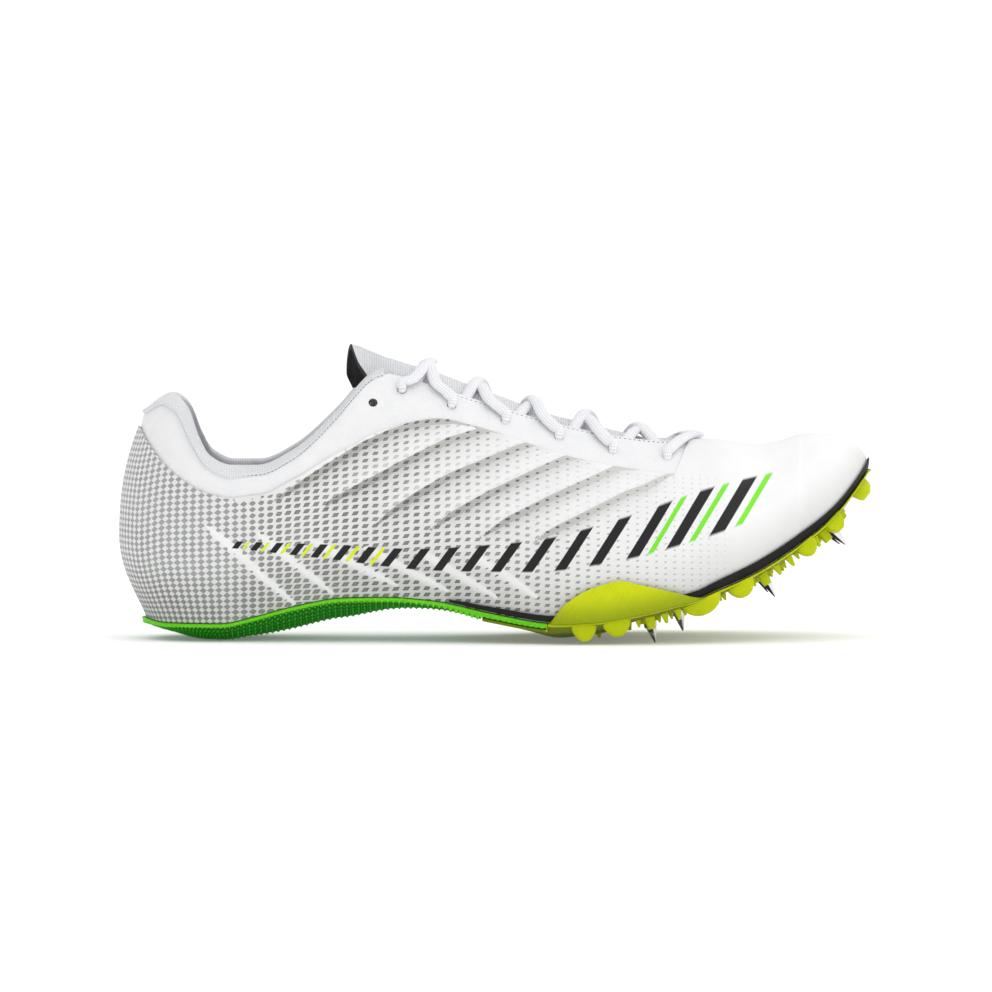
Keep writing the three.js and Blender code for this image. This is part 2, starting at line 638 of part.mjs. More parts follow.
function punchEyelets(upper) {
  const PUNCH_LENGTH = 4 * WALL;
  for (const side of SIDES)
    for (const { at, inset } of EYELETS) {
      const { point, away } = eyestayPoint(side, at * LENGTH, inset * BALL_WIDTH);
      upper = upper.subtract(rod(EYELET_RADIUS, PUNCH_LENGTH, 8, point, away));
    }
  return upper;
}

add("upper", punchEyelets(makeUpper()), "mesh");

// Collar binding: a padded knit roll along the rim, from eyestay to eyestay
const BINDING_END = 0.215;
// Its outline: shares of its half-breadth across the rim and of its height
const BINDING_SHAPE = [
  [1, 0], [1.15, 0.35], [0.8, 0.8], [0.25, 1], [-0.25, 1], [-0.8, 0.8], [-1.15, 0.35], [-1, 0],
];
const BELOW_RIM = 0.03; // the t by which the wall's direction at the rim is taken
function bindingRing(cut) {
  const rim = rimAt(cut);
  const outer = new THREE.Vector2(...profile(cut, rim, panelOut(cut, 1)));
  const inner = new THREE.Vector2(...profile(cut, rim, -WALL - padAt(cut, 1)));
  const below = new THREE.Vector2(...profile(cut, rim - BELOW_RIM, -WALL / 2));
  const above = outer.clone().add(inner).multiplyScalar(0.5).sub(below).normalize();
  const across = outer.clone().sub(inner);
  const half = across.length() / 2 + BINDING_SWELL;
  across.normalize();
  const start = outer.clone().add(inner).multiplyScalar(0.5).addScaledVector(above, 2 * GAP);
  const ring = BINDING_SHAPE.map(([aside, high]) => {
    const spot = start.clone().addScaledVector(across, aside * half);
    spot.addScaledVector(above, high * BINDING_HEIGHT);
    return place(cut, spot.x, spot.y);
  });
  return [...ring, ring[0]];
}

function makeBinding() {
  const skin = new Skin();
  const end = stationAt(BINDING_END * LENGTH);
  const stations = unique([...STATIONS.filter((s) => s < end - ROOM / 2), end]);
  for (const side of SIDES) {
    const rings = stations.map((s) => bindingRing(section(side, s)));
    for (let i = 0; i < rings.length - 1; i += 1) skin.sidedStrip(side, rings[i], rings[i + 1]);
    const last = rings.at(-1);
    skin.sidedStrip(side, last.slice(0, 4), last.slice(4, 8).reverse());
  }
  return skin.solid();
}

add("collar_binding", makeBinding(), "knit");

// Rand: a thin black band round the forefoot, on the edge of the sole
const RAND_START = 0.303;
const RAND_FOOT = 0.25; // its lower edge, in millimetres over the sole edge
const randHigh = line(RAND_BAND, "high");
function randLine(cut) {
  const base = soleEdge(xAt(cut, cut.foot));
  const high = randHigh(xAt(cut, cut.foot));
  const row = (out) => {
    const from = reach(cut, (r, z) => z > base + RAND_FOOT + out);
    const to = reach(cut, (r, z) => z > base + high + out);
    return between(from, to, 2).map((t) => place(cut, ...profile(cut, t, out)));
  };
  const near = row(RAND_ROOM);
  const far = row(RAND_ROOM + RAND_THICKNESS).reverse();
  return [...near, ...far, near[0]];
}

function makeRand() {
  const skin = new Skin();
  const start = stationAt(RAND_START * LENGTH);
  const stations = unique([start, ...STATIONS.filter((s) => s > start + ROOM)]);
  for (const side of SIDES) {
    const lines = stations.map((s) => randLine(section(side, s)));
    for (let i = 0; i < lines.length - 1; i += 1) skin.sidedStrip(side, lines[i], lines[i + 1]);
    const first = lines[0];
    skin.sidedStrip(-side, first.slice(0, 3), first.slice(3, 6).reverse());
  }
  return skin.solid();
}

add("rand", makeRand(), "rand");

// Insole: a sheet on the lasting margin
function makeInsole() {
  const skin = new Skin();
  const low = WALL + GAP;
  for (const side of SIDES) {
    const lines = STATIONS.map((s) => {
      const cut = section(side, s);
      const edge = cut.foot - WALL - 3 * GAP;
      const at = (r, lift) => place(cut, r, soleEdge(xAt(cut, r)) + lift);
      return [
        at(0, low),
        at(cut.foot - MARGIN, low),
        at(edge, low),
        at(edge + GAP, low + INSOLE_THICKNESS / 2),
        at(edge, low + INSOLE_THICKNESS),
        at(0, low + INSOLE_THICKNESS),
      ];
    });
    for (let i = 0; i < lines.length - 1; i += 1)
      skin.sidedStrip(side, lines[i], lines[i + 1], { crossed: true });
  }
  return skin.solid();
}

add("insole", makeInsole(), "insole");

// The sole's underside at a distance r from the spine
const UNDER_POWER = 2.2;
function underside(cut, r, edge) {
  const x = xAt(cut, r);
  const flat = depthFlat(x);
  const share = Math.pow(clamp((r / edge - flat) / (1 - flat), 0, 1), UNDER_POWER);
  return Math.max(0, soleEdge(x) - HEEL_STACK * mix(depthMiddle(x), depthEdge(x), share));
}

// Closes a cut face along one section of a side
function closeEnd(skin, side, { low, high }, front = true) {
  const loop = [...low, ...high];
  const hub = loop.at(-1);
  for (let i = 0; i < loop.length - 2; i += 1) {
    const face = [hub, loop[i + 1], loop[i]];
    if ((side === OUTER_SIDE) !== front) face.reverse();
    skin.triangle(...face);
  }
}

// One sole layer from station to station; lineAt gives its underside and top rows
function layer(stations, lineAt, openHeel) {
  const skin = new Skin();
  for (const side of SIDES) {
    const lines = stations.map((s) => lineAt(section(side, s)));
    const rows = lines.map(({ low, high }) => [...low, ...high]);
    for (let i = 0; i < rows.length - 1; i += 1)
      skin.sidedStrip(side, rows[i], rows[i + 1], { crossed: true });
    if (openHeel) closeEnd(skin, side, lines[0], false);
    else closeEnd(skin, side, lines.at(-1), true);
  }
  return skin.solid();
}

// Heel sole: one moulded wedge from the heel to the waist, lapping over the plate
const UNDER_ROWS = 4;
function topRow(cut, edge, drop) {
  return [edge, cut.foot, cut.foot - MARGIN, 0].map((r) => place(cut, r, soleEdge(xAt(cut, r)) - drop));
}

function makeHeelSole() {
  const end = stationAt(LAP_END);
  const step = stationAt(LAP_START - GAP);
  const stations = unique([
    ...STATIONS.filter((s) => s < end - ROOM && Math.abs(s - step) > ROOM),
    stationAt(LAP_START - 2 * GAP),
    step,
    end,
  ]);
  return layer(stations, (cut) => {
    const edge = cut.foot + SOLE_LEDGE;
    const under = (r) => {
      const x = xAt(cut, r);
      const full = underside(cut, r, edge);
      const lapped = cut.x > LAP_START - GAP - TINY;
      return place(cut, r, lapped ? Math.max(full, soleEdge(x) - LAP_THICKNESS) : full);
    };
    return {
      low: between(0, edge, UNDER_ROWS).map(under),
      high: topRow(cut, edge, GAP),
    };
  });
}

add("heel_sole", makeHeelSole(), "foam");

// Spike plate: the sheet, wings up the sides, cleats and teeth below, and the spikes' seats
function makePlateSheet() {
  const start = stationAt(LAP_START);
  const lapEnd = stationAt(LAP_END);
  const clear = stationAt(LAP_END + GAP);
  const stations = unique([
    start,
    ...STATIONS.filter((s) => s > start + ROOM && Math.abs(s - lapEnd) > ROOM),
    lapEnd,
    clear,
  ]);
  return layer(
    stations,
    (cut) => {
      const lapped = cut.s < (lapEnd + clear) / 2;
      const edge = cut.foot + (lapped ? SOLE_LEDGE : PLATE_EDGE);
      const drop = lapped ? LAP_THICKNESS + GAP : GAP;
      return {
        low: between(0, edge, UNDER_ROWS).map((r) => place(cut, r, underside(cut, r, edge))),
        high: topRow(cut, edge, drop),
      };
    },
    true,
  );
}

const wingHigh = line(WING, "high");
function makeWing(side) {
  const ROOT_DEPTH = 1.1;
  const skin = new Skin();
  const inside = RAND_ROOM + RAND_THICKNESS + GAP;
  const from = stationAt(LAP_END + GAP);
  const to = stationAt(WING.at(-1).at * LENGTH);
  const lines = between(from, to, 12).map((s) => {
    const cut = section(side, s);
    const base = soleEdge(cut.x);
    const top = reach(cut, (r, z) => z > base + WING_HEIGHT * wingHigh(cut.x));
    const near = between(0, top, 2).map((t) => place(cut, ...profile(cut, t, inside)));
    const far = between(top, 0, 2).map((t) =>
      place(cut, ...profile(cut, t, inside + WING_THICKNESS)),
    );
    near[0].z = base - GAP - ROOT_DEPTH;
    far.at(-1).z = base - GAP - ROOT_DEPTH;
    return [...near, ...far, near[0]];
  });
  for (let i = 0; i < lines.length - 1; i += 1) skin.strip(lines[i], lines[i + 1]);
  const cap = (row) => [row.slice(0, 3), row.slice(3, 6).reverse()];
  skin.strip(...cap(lines.at(-1)));
  skin.strip(...cap(lines[0]).reverse());
  return skin.solid();
}

// The station at which the plate's edge passes x
function edgeStation(side, x) {
  let low = FIRST_STRAIGHT;
  let high = SECTIONS.length - 1;
  for (let halving = 0; halving < 30; halving += 1) {
    const middle = (low + high) / 2;
    const cut = section(side, middle);
    if (xAt(cut, cut.foot + PLATE_EDGE) < x) low = middle;
    else high = middle;
  }
  return (low + high) / 2;
}

// A tapering block that hangs from the plate at a share `row` of its half-width; waist is
// where its sides turn in, as a share of its height, and WAIST_TAPER how much they have then
const ROOT = 1; // how deep it is set into the plate
const WAIST_TAPER = 0.3;
function hangingBlock(side, x, row, { wide, deep, tall, taper, waist = 0 }) {
  const s = edgeStation(side, x);
  const under = (station, r) => {
    const cut = section(side, station);
    return place(cut, r, underside(cut, r, cut.foot + PLATE_EDGE));
  };
  const cut = section(side, s);
  const r = (cut.foot + PLATE_EDGE) * row - deep / 2;
  const centre = under(s, r);
  const STEP = 0.05;
  const along = under(s + STEP, r).sub(under(s - STEP, r)).normalize();
  const inward = under(s, r - 1).sub(centre).normalize();
  const down = new THREE.Vector3().crossVectors(along, inward).normalize();
  if (down.z > 0) down.negate();
  inward.crossVectors(down, along).normalize();
  const ring = (depth, scale) =>
    [[-1, -1], [1, -1], [1, 1], [-1, 1], [-1, -1]].map(([a, b]) =>
      centre
        .clone()
        .addScaledVector(along, (a * wide * scale) / 2)
        .addScaledVector(inward, (b * deep * scale) / 2)
        .addScaledVector(down, depth),
    );
  const skin = new Skin();
  const rings = [ring(-ROOT, 1), ring(tall, taper)];
  if (waist) rings.splice(1, 0, ring(waist * tall, mix(1, taper, WAIST_TAPER)));
  for (let i = 0; i < rings.length - 1; i += 1) skin.strip(rings[i], rings[i + 1]);
  const tip = rings.at(-1);
  skin.strip([rings[0][1], rings[0][0]], [rings[0][2], rings[0][3]]);
  skin.strip([tip[0], tip[1]], [tip[3], tip[2]]);
  return skin.solid();
}

// Where a spike stands: the plate's underside at its spot, and the way it points
function spikeSpot({ at, across, onFloor }) {
  const x = at * LENGTH;
  const cut = section(across < 0 ? OUTER_SIDE : INNER_SIDE, stationAt(x));
  const z = (along) => soleEdge(along) - HEEL_STACK * depthMiddle(along);
  const SLOPE_STEP = 2;
  const down = new THREE.Vector3(z(x + SLOPE_STEP) - z(x - SLOPE_STEP), 0, -2 * SLOPE_STEP).normalize();
  const root = new THREE.Vector3(x, cut.y + across * (cut.foot + PLATE_EDGE), z(x));
  const spikeTall = GAP + SPIKE_COLLAR + SPIKE_LENGTH;
  const seat = onFloor ? (root.z - SPIKE_POINT * down.x) / -down.z - spikeTall : SEAT_HEIGHT;
  return { root, down, seat };
}

function seatSolid(spike) {
  const { root, down, seat } = spikeSpot(spike);
  const tall = seat + ROOT;
  const middle = root.clone().addScaledVector(down, seat - tall / 2);
  return rod(SEAT_RADIUS, tall, 10, middle, down);
}

function makePlate() {
  let plate = makePlateSheet();
  for (const side of SIDES) {
    plate = plate.add(makeWing(side));
    for (const { at, wide } of CLEATS) {
      const size = { wide: wide * LENGTH, deep: CLEAT_DEPTH, tall: CLEAT_HEIGHT, taper: 0.72, waist: 0.55 };
      plate = plate.add(hangingBlock(side, at * LENGTH, 1, size));
    }
    for (const { at, row } of TEETH) {
      const size = { wide: TOOTH_DEPTH, deep: TOOTH_DEPTH, tall: TOOTH_HEIGHT, taper: 0.35 };
      plate = plate.add(hangingBlock(side, at * LENGTH, row, size));
    }
  }
  for (const spike of SPIKES) plate = plate.add(seatSolid(spike));
  return plate;
}

add("spike_plate", makePlate(), "plate");

// Spikes: a hexagonal collar with a six-sided point that is cut flat
function makeSpike(spike) {
  const { root, down, seat } = spikeSpot(spike);
  const outline = [
    [0, 0],
    [HEX_RADIUS, 0],
    [HEX_RADIUS, SPIKE_COLLAR],
    [SPIKE_RADIUS, SPIKE_COLLAR],
    [SPIKE_POINT, SPIKE_COLLAR + SPIKE_LENGTH],
    [0, SPIKE_COLLAR + SPIKE_LENGTH],
  ].map(([radius, depth]) => new THREE.Vector2(radius, depth));
  const CORNERS = 6;
  const geometry = new THREE.LatheGeometry(outline, CORNERS, Math.PI / CORNERS);
  const turn = new THREE.Quaternion().setFromUnitVectors(new THREE.Vector3(0, 1, 0), down);
  const foot = root.clone().addScaledVector(down, seat + GAP);
  return solidOf(geometry.applyQuaternion(turn).translate(foot.x, foot.y, foot.z));
}

for (const spike of SPIKES) add(spike.name, makeSpike(spike), "steel");

// Tongue: a padded sheet under the laces, whose upper end stands up out of the throat
const tongueHalf = line(TONGUE, "half");
const tongueLift = line(TONGUE, "lift");
const tongueRaise = line(TONGUE, "raise");
const TONGUE_ROWS = 5;
const TONGUE_STEPS = 13;
function tongueLine(side, x) {
  const held = Math.max(x, TONGUE_FREE * LENGTH);
  const cut = section(side, stationAt(held));
  const edge = reach(cut, (r) => r < BALL_WIDTH * tongueHalf(x), 1, WIDEST);
  const layerAt = (t, out) => {
    const [r, z] = profile(cut, t, out);
    const lift = tongueLift(x) * THREE.MathUtils.smoothstep((t - edge) / (1 - edge), 0.3, 1);
    const point = place(cut, t === 1 ? 0 : r, z + INSTEP_HEIGHT * (lift + tongueRaise(x)));
    point.x += x - held;
    return point;
  };
  const outside = -WALL - TONGUE_ROOM;
  return {
    over: between(edge, 1, TONGUE_ROWS).map((t) => layerAt(t, outside)),
    under: between(edge, 1, TONGUE_ROWS).map((t) => layerAt(t, outside - TONGUE_THICKNESS)),
  };
}

function makeTongue() {
  const skin = new Skin();
  const from = TONGUE[0].at * LENGTH;
  const to = TONGUE.at(-1).at * LENGTH;
  for (const side of SIDES) {
    const rows = between(from, to, TONGUE_STEPS).map((x) => {
      const { over, under } = tongueLine(side, x);
      return [...over.slice().reverse(), ...under];
    });
    for (let i = 0; i < rows.length - 1; i += 1) skin.sidedStrip(side, rows[i], rows[i + 1]);
    const cap = (row) => [row.slice(0, TONGUE_ROWS + 1), row.slice(TONGUE_ROWS + 1).reverse()];
    const end = cap(rows.at(-1));
    const start = cap(rows[0]);
    skin.sidedStrip(side, end[0], end[1]);
    skin.sidedStrip(side, start[1], start[0]);
  }
  return skin.solid();
}

add("tongue", makeTongue(), "knit");

// Laces: a crossing between each pair of eyelets, two flat strands that meet over the tongue
const LACE_INSET = 0.02; // the crossings' ends, from the throat's edge, as a share of BALL_WIDTH
const LACE_FLATNESS = 0.5; // a strand's thickness as a share of its width
const STRAND_HALF = 0.9 * LACE_RADIUS; // half a strand's width
// A strand's outline: shares of its half-width and of its half-thickness
const STRAND = [[1, 0], [0.6, 1], [-0.6, 1], [-1, 0], [-0.6, -1], [0.6, -1], [1, 0]];
const STRAND_STEPS = 5;

// Height of a strand's middle line as it crosses the throat
function laceHeight(x, y) {
  const cut = section(y < columns.swing(stationAt(x)) * BALL_WIDTH ? OUTER_SIDE : INNER_SIDE, stationAt(x));
  const t = reach(cut, (r) => r < Math.abs(y - cut.y), 1, WIDEST);
  return profile(cut, t)[1] + GAP + LACE_LIFT + LACE_RADIUS * LACE_FLATNESS;
}

function laceBar(from, to) {
  const skin = new Skin();
  const along = to.clone().sub(from).setZ(0).normalize();
  const across = new THREE.Vector3(-along.y, along.x, 0);
  const sections = between(0, 1, STRAND_STEPS).map((share) => {
    const spot = from.clone().lerp(to, share);
    const z = laceHeight(spot.x, spot.y);
    const aside = LACE_RADIUS / 2;
    const left = laceHeight(spot.x + across.x * aside, spot.y + across.y * aside);
    const tilt = clamp((left - z) / aside, -1, 1);
    return STRAND.map(([a, b]) => {
      const p = spot.clone().addScaledVector(across, a * STRAND_HALF);
      p.z = z + a * STRAND_HALF * tilt + b * LACE_RADIUS * LACE_FLATNESS;
      return p;
    });
  });
  for (let i = 0; i < sections.length - 1; i += 1) skin.strip(sections[i], sections[i + 1]);
  for (const fan of [sections.at(-1), sections[0].slice().reverse()])
    for (let i = 1; i < STRAND.length - 2; i += 1) skin.triangle(fan[0], fan[i + 1], fan[i]);
  return skin.solid();
}

for (let i = 1; i < EYELETS.length; i += 1) {
  const room = LACE_RADIUS + GAP;
  const here = EYELETS[i].at * LENGTH + room;
  const next = i + 1 < EYELETS.length ? EYELETS[i + 1].at * LENGTH - room : vampX - room;
  const end = (side, x) => eyestayPoint(side, x, LACE_INSET * BALL_WIDTH).point;
  const one = laceBar(end(OUTER_SIDE, here), end(INNER_SIDE, next));
  const other = laceBar(end(INNER_SIDE, here), end(OUTER_SIDE, next));
  add(`lace_cross_${i}`, one.add(other), "lace");
}

export default shoe;
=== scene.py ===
# %% [markdown]
# # A sprint spike shoe
# A right-foot track spike, seen from its outer side: a printed mesh upper, a smooth collar and
# eyestay panel, a knitted collar roll, white laces, a black rand, a green heel sole and a lime
# forefoot plate with cleats and steel spikes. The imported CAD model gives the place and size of
# every piece. This lesson puts a detailed skin on each of them, in the same frame.

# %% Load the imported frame
import math
from types import SimpleNamespace

import bmesh
import bpy
import numpy as np
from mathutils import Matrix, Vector


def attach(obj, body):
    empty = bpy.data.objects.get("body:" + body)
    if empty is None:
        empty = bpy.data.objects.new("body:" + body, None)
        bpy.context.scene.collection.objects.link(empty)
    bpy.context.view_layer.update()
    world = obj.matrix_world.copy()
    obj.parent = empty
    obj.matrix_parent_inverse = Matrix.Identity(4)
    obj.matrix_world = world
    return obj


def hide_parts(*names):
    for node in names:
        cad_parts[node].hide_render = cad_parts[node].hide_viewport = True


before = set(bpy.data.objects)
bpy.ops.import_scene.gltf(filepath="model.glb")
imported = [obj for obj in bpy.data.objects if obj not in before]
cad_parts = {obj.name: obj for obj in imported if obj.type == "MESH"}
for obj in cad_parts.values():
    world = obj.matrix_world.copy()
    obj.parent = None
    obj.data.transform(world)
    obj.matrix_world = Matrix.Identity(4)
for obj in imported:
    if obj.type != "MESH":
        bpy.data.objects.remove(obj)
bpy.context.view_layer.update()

# %% [markdown]
# ## Camera
# A product photograph is taken from far away with a long lens, so that the shoe's two ends
# look equally large. The lens and the distance are chosen together: the distance follows from
# how much of the scene the frame is to show.

# %% Camera
VIEW_WIDTH = 0.367  # metres across the frame, at the shoe's outer side
VIEW_CENTRE = Vector((0.1021, -0.029, 0.0544))
VIEW_RISE = math.radians(2.8)
LENS = 400.0
SENSOR = 36.0

lens = bpy.data.cameras.new("long_lens")
lens.lens = LENS
lens.sensor_width = SENSOR
lens.clip_end = 100
camera = bpy.data.objects.new("camera", lens)
bpy.context.scene.collection.objects.link(camera)
distance = VIEW_WIDTH * LENS / SENSOR
camera.location = VIEW_CENTRE + distance * Vector((0, -math.cos(VIEW_RISE), math.sin(VIEW_RISE)))
camera.rotation_euler = (math.pi / 2 - VIEW_RISE, 0, 0)
bpy.context.scene.camera = camera
bpy.context.scene.view_settings.view_transform = "Standard"
print(f"camera {distance:.2f} m away")

# %% [markdown]
# ## Shader maths as Python
# A material is a web of nodes, and a pattern such as a printed mesh takes dozens of them. One
# small class wraps an output socket, so that ordinary arithmetic on it adds the Math nodes. A
# pattern is then written as one reads it, and can be worked out on paper first. Colours and
# vectors go through Mix and Vector Math instead, because a Math node would turn them grey.


# %% Wires and finishes
def ink(red, green, blue):
    """A colour given as it looks on a screen, 0 to 255, turned into light values."""
    tones = [tone / 255 for tone in (red, green, blue)]
    return (*[t / 12.92 if t < 0.04045 else ((t + 0.055) / 1.055) ** 2.4 for t in tones], 1)


class Wire:
    """One number that varies over a surface."""

    def __init__(self, web, socket):
        self.web = web
        self.socket = socket

    def math(self, operation, *values, **settings):
        """A Math node on numbers and wires."""
        settings["operation"] = operation
        node = self.web.node("ShaderNodeMath", settings, dict(enumerate(values)))
        return Wire(self.web, node.outputs[0])

    def __add__(self, other):
        return self.math("ADD", self, other)

    def __radd__(self, other):
        return self.math("ADD", other, self)

    def __sub__(self, other):
        return self.math("SUBTRACT", self, other)

    def __rsub__(self, other):
        return self.math("SUBTRACT", other, self)

    def __mul__(self, other):
        return self.math("MULTIPLY", self, other)

    def __rmul__(self, other):
        return self.math("MULTIPLY", other, self)

    def __truediv__(self, other):
        return self.math("DIVIDE", self, other)

    def __abs__(self):
        return self.math("ABSOLUTE", self)

    def top(self, other):
        """The larger of the two."""
        return self.math("MAXIMUM", self, other)

    def least(self, other):
        """The smaller of the two."""
        return self.math("MINIMUM", self, other)

    def clamped(self):
        """The same number, kept between 0 and 1."""
        return self.math("MULTIPLY", self, 1.0, use_clamp=True)

    def wave(self, length):
        """From -1 to 1 and back over each length."""
        return self.math("SINE", self * (2 * math.pi / length))

    def offset(self):
        """How far it is from the nearest whole number, from -0.5 to 0.5."""
        return self - self.math("ROUND", self)

    def rise(self, low, high):
        """0 up to low, 1 from high on, and a soft step between."""
        limits = {"Value": self, "From Min": low, "From Max": high}
        node = self.web.node("ShaderNodeMapRange", {"interpolation_type": "SMOOTHSTEP"}, limits)
        return Wire(self.web, node.outputs[0])


class Web:
    """A tree of nodes, and the ways to add to it."""

    def __init__(self, tree):
        self.tree = tree
        self.tree.nodes.clear()

    def node(self, kind, settings, inputs):
        """Any node: its type, its settings, and the values or links of its sockets."""
        node = self.tree.nodes.new(kind)
        for name, value in settings.items():
            setattr(node, name, value)
        for name, value in inputs.items():
            self.feed(node.inputs[name], value)
        return node

    def feed(self, socket, value):
        """Link a socket, or set it."""
        if isinstance(value, Wire):
            value = value.socket
        if isinstance(value, bpy.types.NodeSocket):
            self.tree.links.new(value, socket)
        else:
            socket.default_value = value

    def coordinates(self, kind):
        """A vector socket of the Texture Coordinate node, such as Object or Normal."""
        return self.node("ShaderNodeTexCoord", {}, {}).outputs[kind]

    def parts(self, vector):
        """The three numbers of a vector."""
        node = self.node("ShaderNodeSeparateXYZ", {}, {0: vector})
        return [Wire(self, out) for out in node.outputs]

    def attribute(self, name):
        """The three numbers that a mesh carries at each point under this name."""
        return self.parts(self.node("ShaderNodeAttribute", {"attribute_name": name}, {}).outputs["Vector"])

    def place(self):
        """Object coordinates in millimetres, as a vector socket."""
        inputs = {0: self.coordinates("Object"), "Scale": 1000.0}
        return self.node("ShaderNodeVectorMath", {"operation": "SCALE"}, inputs).outputs[0]

    def noise(self, size, detail=2.0):
        """Soft random blotches about `size` millimetres across, from 0 to 1."""
        inputs = {"Vector": self.place(), "Scale": 1 / size, "Detail": detail}
        return Wire(self, self.node("ShaderNodeTexNoise", {}, inputs).outputs[0])

    def blend(self, share, first, second):
        """A colour: first where share is 0 and second where it is 1."""
        node = self.node("ShaderNodeMix", {"data_type": "RGBA"}, {0: share, 6: first, 7: second})
        return node.outputs[2]


class Finish(Web):
    """A material with one Principled shader."""

    def __init__(self, name, **constants):
        self.material = bpy.data.materials.new(name)
        self.material.use_nodes = True
        super().__init__(self.material.node_tree)
        self.shader = self.node("ShaderNodeBsdfPrincipled", {}, constants)
        self.node("ShaderNodeOutputMaterial", {}, {"Surface": self.shader.outputs[0]})

    def set(self, **inputs):
        """Inputs of the shader, with an underscore for each space in a name."""
        for name, value in inputs.items():
            self.feed(self.shader.inputs[name.replace("_", " ")], value)

    def bump(self, height, depth):
        """Relief of a depth in millimetres, where height goes from 0 to 1."""
        inputs = {"Height": height, "Distance": depth / 1000, "Strength": 1.0}
        self.set(Normal=self.node("ShaderNodeBump", {}, inputs).outputs[0])


print("shader helpers ready")

# %% [markdown]
# ## The shoe's own surface
# A shoe is built on a last, the form of a foot. Here the last is a row of cross-sections from
# the back of the heel to the tip of the toe. The sections are read off smooth curves through
# a few tables, as in the CAD source, so each piece can be made as fine as its look needs and
# still lies where the solids are. Millimetres are used until a mesh is made.

# %% Sizes of the last, in millimetres
LENGTH = 280.0
BALL_WIDTH = 92.0
HEEL_WIDTH = 64.0
INSTEP_HEIGHT = 84.0
HEEL_STACK = 7.0
ARCH_RISE = 17.0
TOE_SPRING = 60.0
COLLAR_HEIGHT = 90.0
WALL = 2.0
PANEL_STEP = 0.8  # how far the smooth panel lies below the mesh
PANEL_PUFF = 0.6
COLLAR_PAD = 1.8
MARGIN = 9.0  # how far the upper turns in under the foot
GAP = 0.3
OUTER_SIDE, INNER_SIDE = -1, 1
SIDES = (OUTER_SIDE, INNER_SIDE)

# %% Tables of the last
SECTION_COLUMNS = "at turn ball swing footLat footMed sideLat sideMed up crown open round lean climb".split()
SECTIONS = [
    (0.007, 180, 0, 0, 0.475, 0.475, 0.63, 0.63, 0.357, 1.1, 0.375, 0.6, 0.35, 0),
    (0.007, 150, 0, 0, 0.46, 0.46, 0.603, 0.603, 0.357, 1.11, 0.365, 0.58, 0.35, 0),
    (0.007, 120, 0, 0, 0.42, 0.42, 0.54, 0.54, 0.35, 1.14, 0.355, 0.52, 0.35, 0),
    (0.014, 90, 0, 0, 0.4, 0.4, 0.5, 0.5, 0.33, 1.18, 0.35, 0.48, 0.35, 0),
    (0.107, 90, 0.1, 0, 0.4, 0.355, 0.49, 0.468, 0.31, 1.22, 0.25, 0.5, 0.35, 0),
    (0.2, 90, 0.25, 0, 0.39, 0.25, 0.467, 0.425, 0.286, 1.06, 0, 0.62, 0, 0),
    (0.296, 90, 0.5, 0, 0.395, 0.262, 0.464, 0.417, 0.262, 0.996, 0, 0.58, 0, 0),
    (0.393, 90, 0.8, 0, 0.432, 0.342, 0.483, 0.437, 0.214, 0.948, 0, 0.58, 0, 0),
    (0.482, 90, 1, 0, 0.458, 0.415, 0.502, 0.462, 0.179, 0.878, 0, 0.62, 0, 0),
    (0.571, 90, 1, 0.011, 0.455, 0.445, 0.5, 0.49, 0.16, 0.77, 0, 0.66, 0, 0),
    (0.661, 90, 1, 0.033, 0.4, 0.415, 0.438, 0.45, 0.137, 0.643, 0, 0.68, 0, 0),
    (0.725, 90, 1, 0.054, 0.34, 0.362, 0.371, 0.39, 0.119, 0.524, 0, 0.68, 0, 0.05),
    (0.768, 90, 1, 0.065, 0.298, 0.302, 0.325, 0.325, 0.107, 0.471, 0, 0.68, 0, 0.15),
    (0.768, 60, 1, 0.065, 0.276, 0.278, 0.297, 0.299, 0.089, 0.471, 0, 0.68, 0, 0.15),
    (0.768, 30, 1, 0.065, 0.268, 0.268, 0.28, 0.28, 0.06, 0.471, 0, 0.68, 0, 0.15),
    (0.768, 0, 1, 0.065, 0.268, 0.268, 0.275, 0.275, 0.048, 0.471, 0, 0.68, 0, 0.15),
]
SOLE_EDGE = [  # at, share of HEEL_STACK, of ARCH_RISE, of TOE_SPRING
    (-0.11, 1.25, 0, 0), (-0.07, 1, 0, 0), (0, 1, 0, 0), (0.042, 0.85, 0.2, 0), (0.095, 0.4, 0.62, 0),
    (0.161, 0, 0.98, 0), (0.22, 0, 1, 0), (0.28, 0, 0.93, 0), (0.36, 0, 0.67, 0), (0.432, 0, 0.48, 0),
    (0.49, 0, 0.44, 0.02), (0.544, 0, 0.33, 0.09), (0.597, 0, 0.18, 0.19), (0.643, 0, 0, 0.3),
    (0.703, 0, 0, 0.42), (0.756, 0, 0, 0.567), (0.809, 0, 0, 0.76), (0.843, 0, 0, 0.943), (0.86, 0, 0, 1.05),
]
SOLE_DEPTH = [  # at, middle, edge, flat
    (-0.12, 0.5, 0.4, 0.3), (-0.07, 0.68, 0.3, 0.35), (-0.03, 0.96, 0.26, 0.42), (0.03, 1.12, 0.26, 0.42),
    (0.095, 1.36, 0.28, 0.35), (0.16, 1.26, 0.3, 0.3), (0.227, 0.84, 0.32, 0.3), (0.28, 0.66, 0.35, 0.3),
    (0.346, 0.6, 0.54, 0.3), (0.432, 0.7, 0.5, 0.3), (0.49, 0.6, 0.34, 0.3), (0.544, 0.52, 0.3, 0.35),
    (0.6, 0.45, 0.26, 0.5), (0.7, 0.4, 0.24, 0.5), (0.86, 0.35, 0.22, 0.5),
]
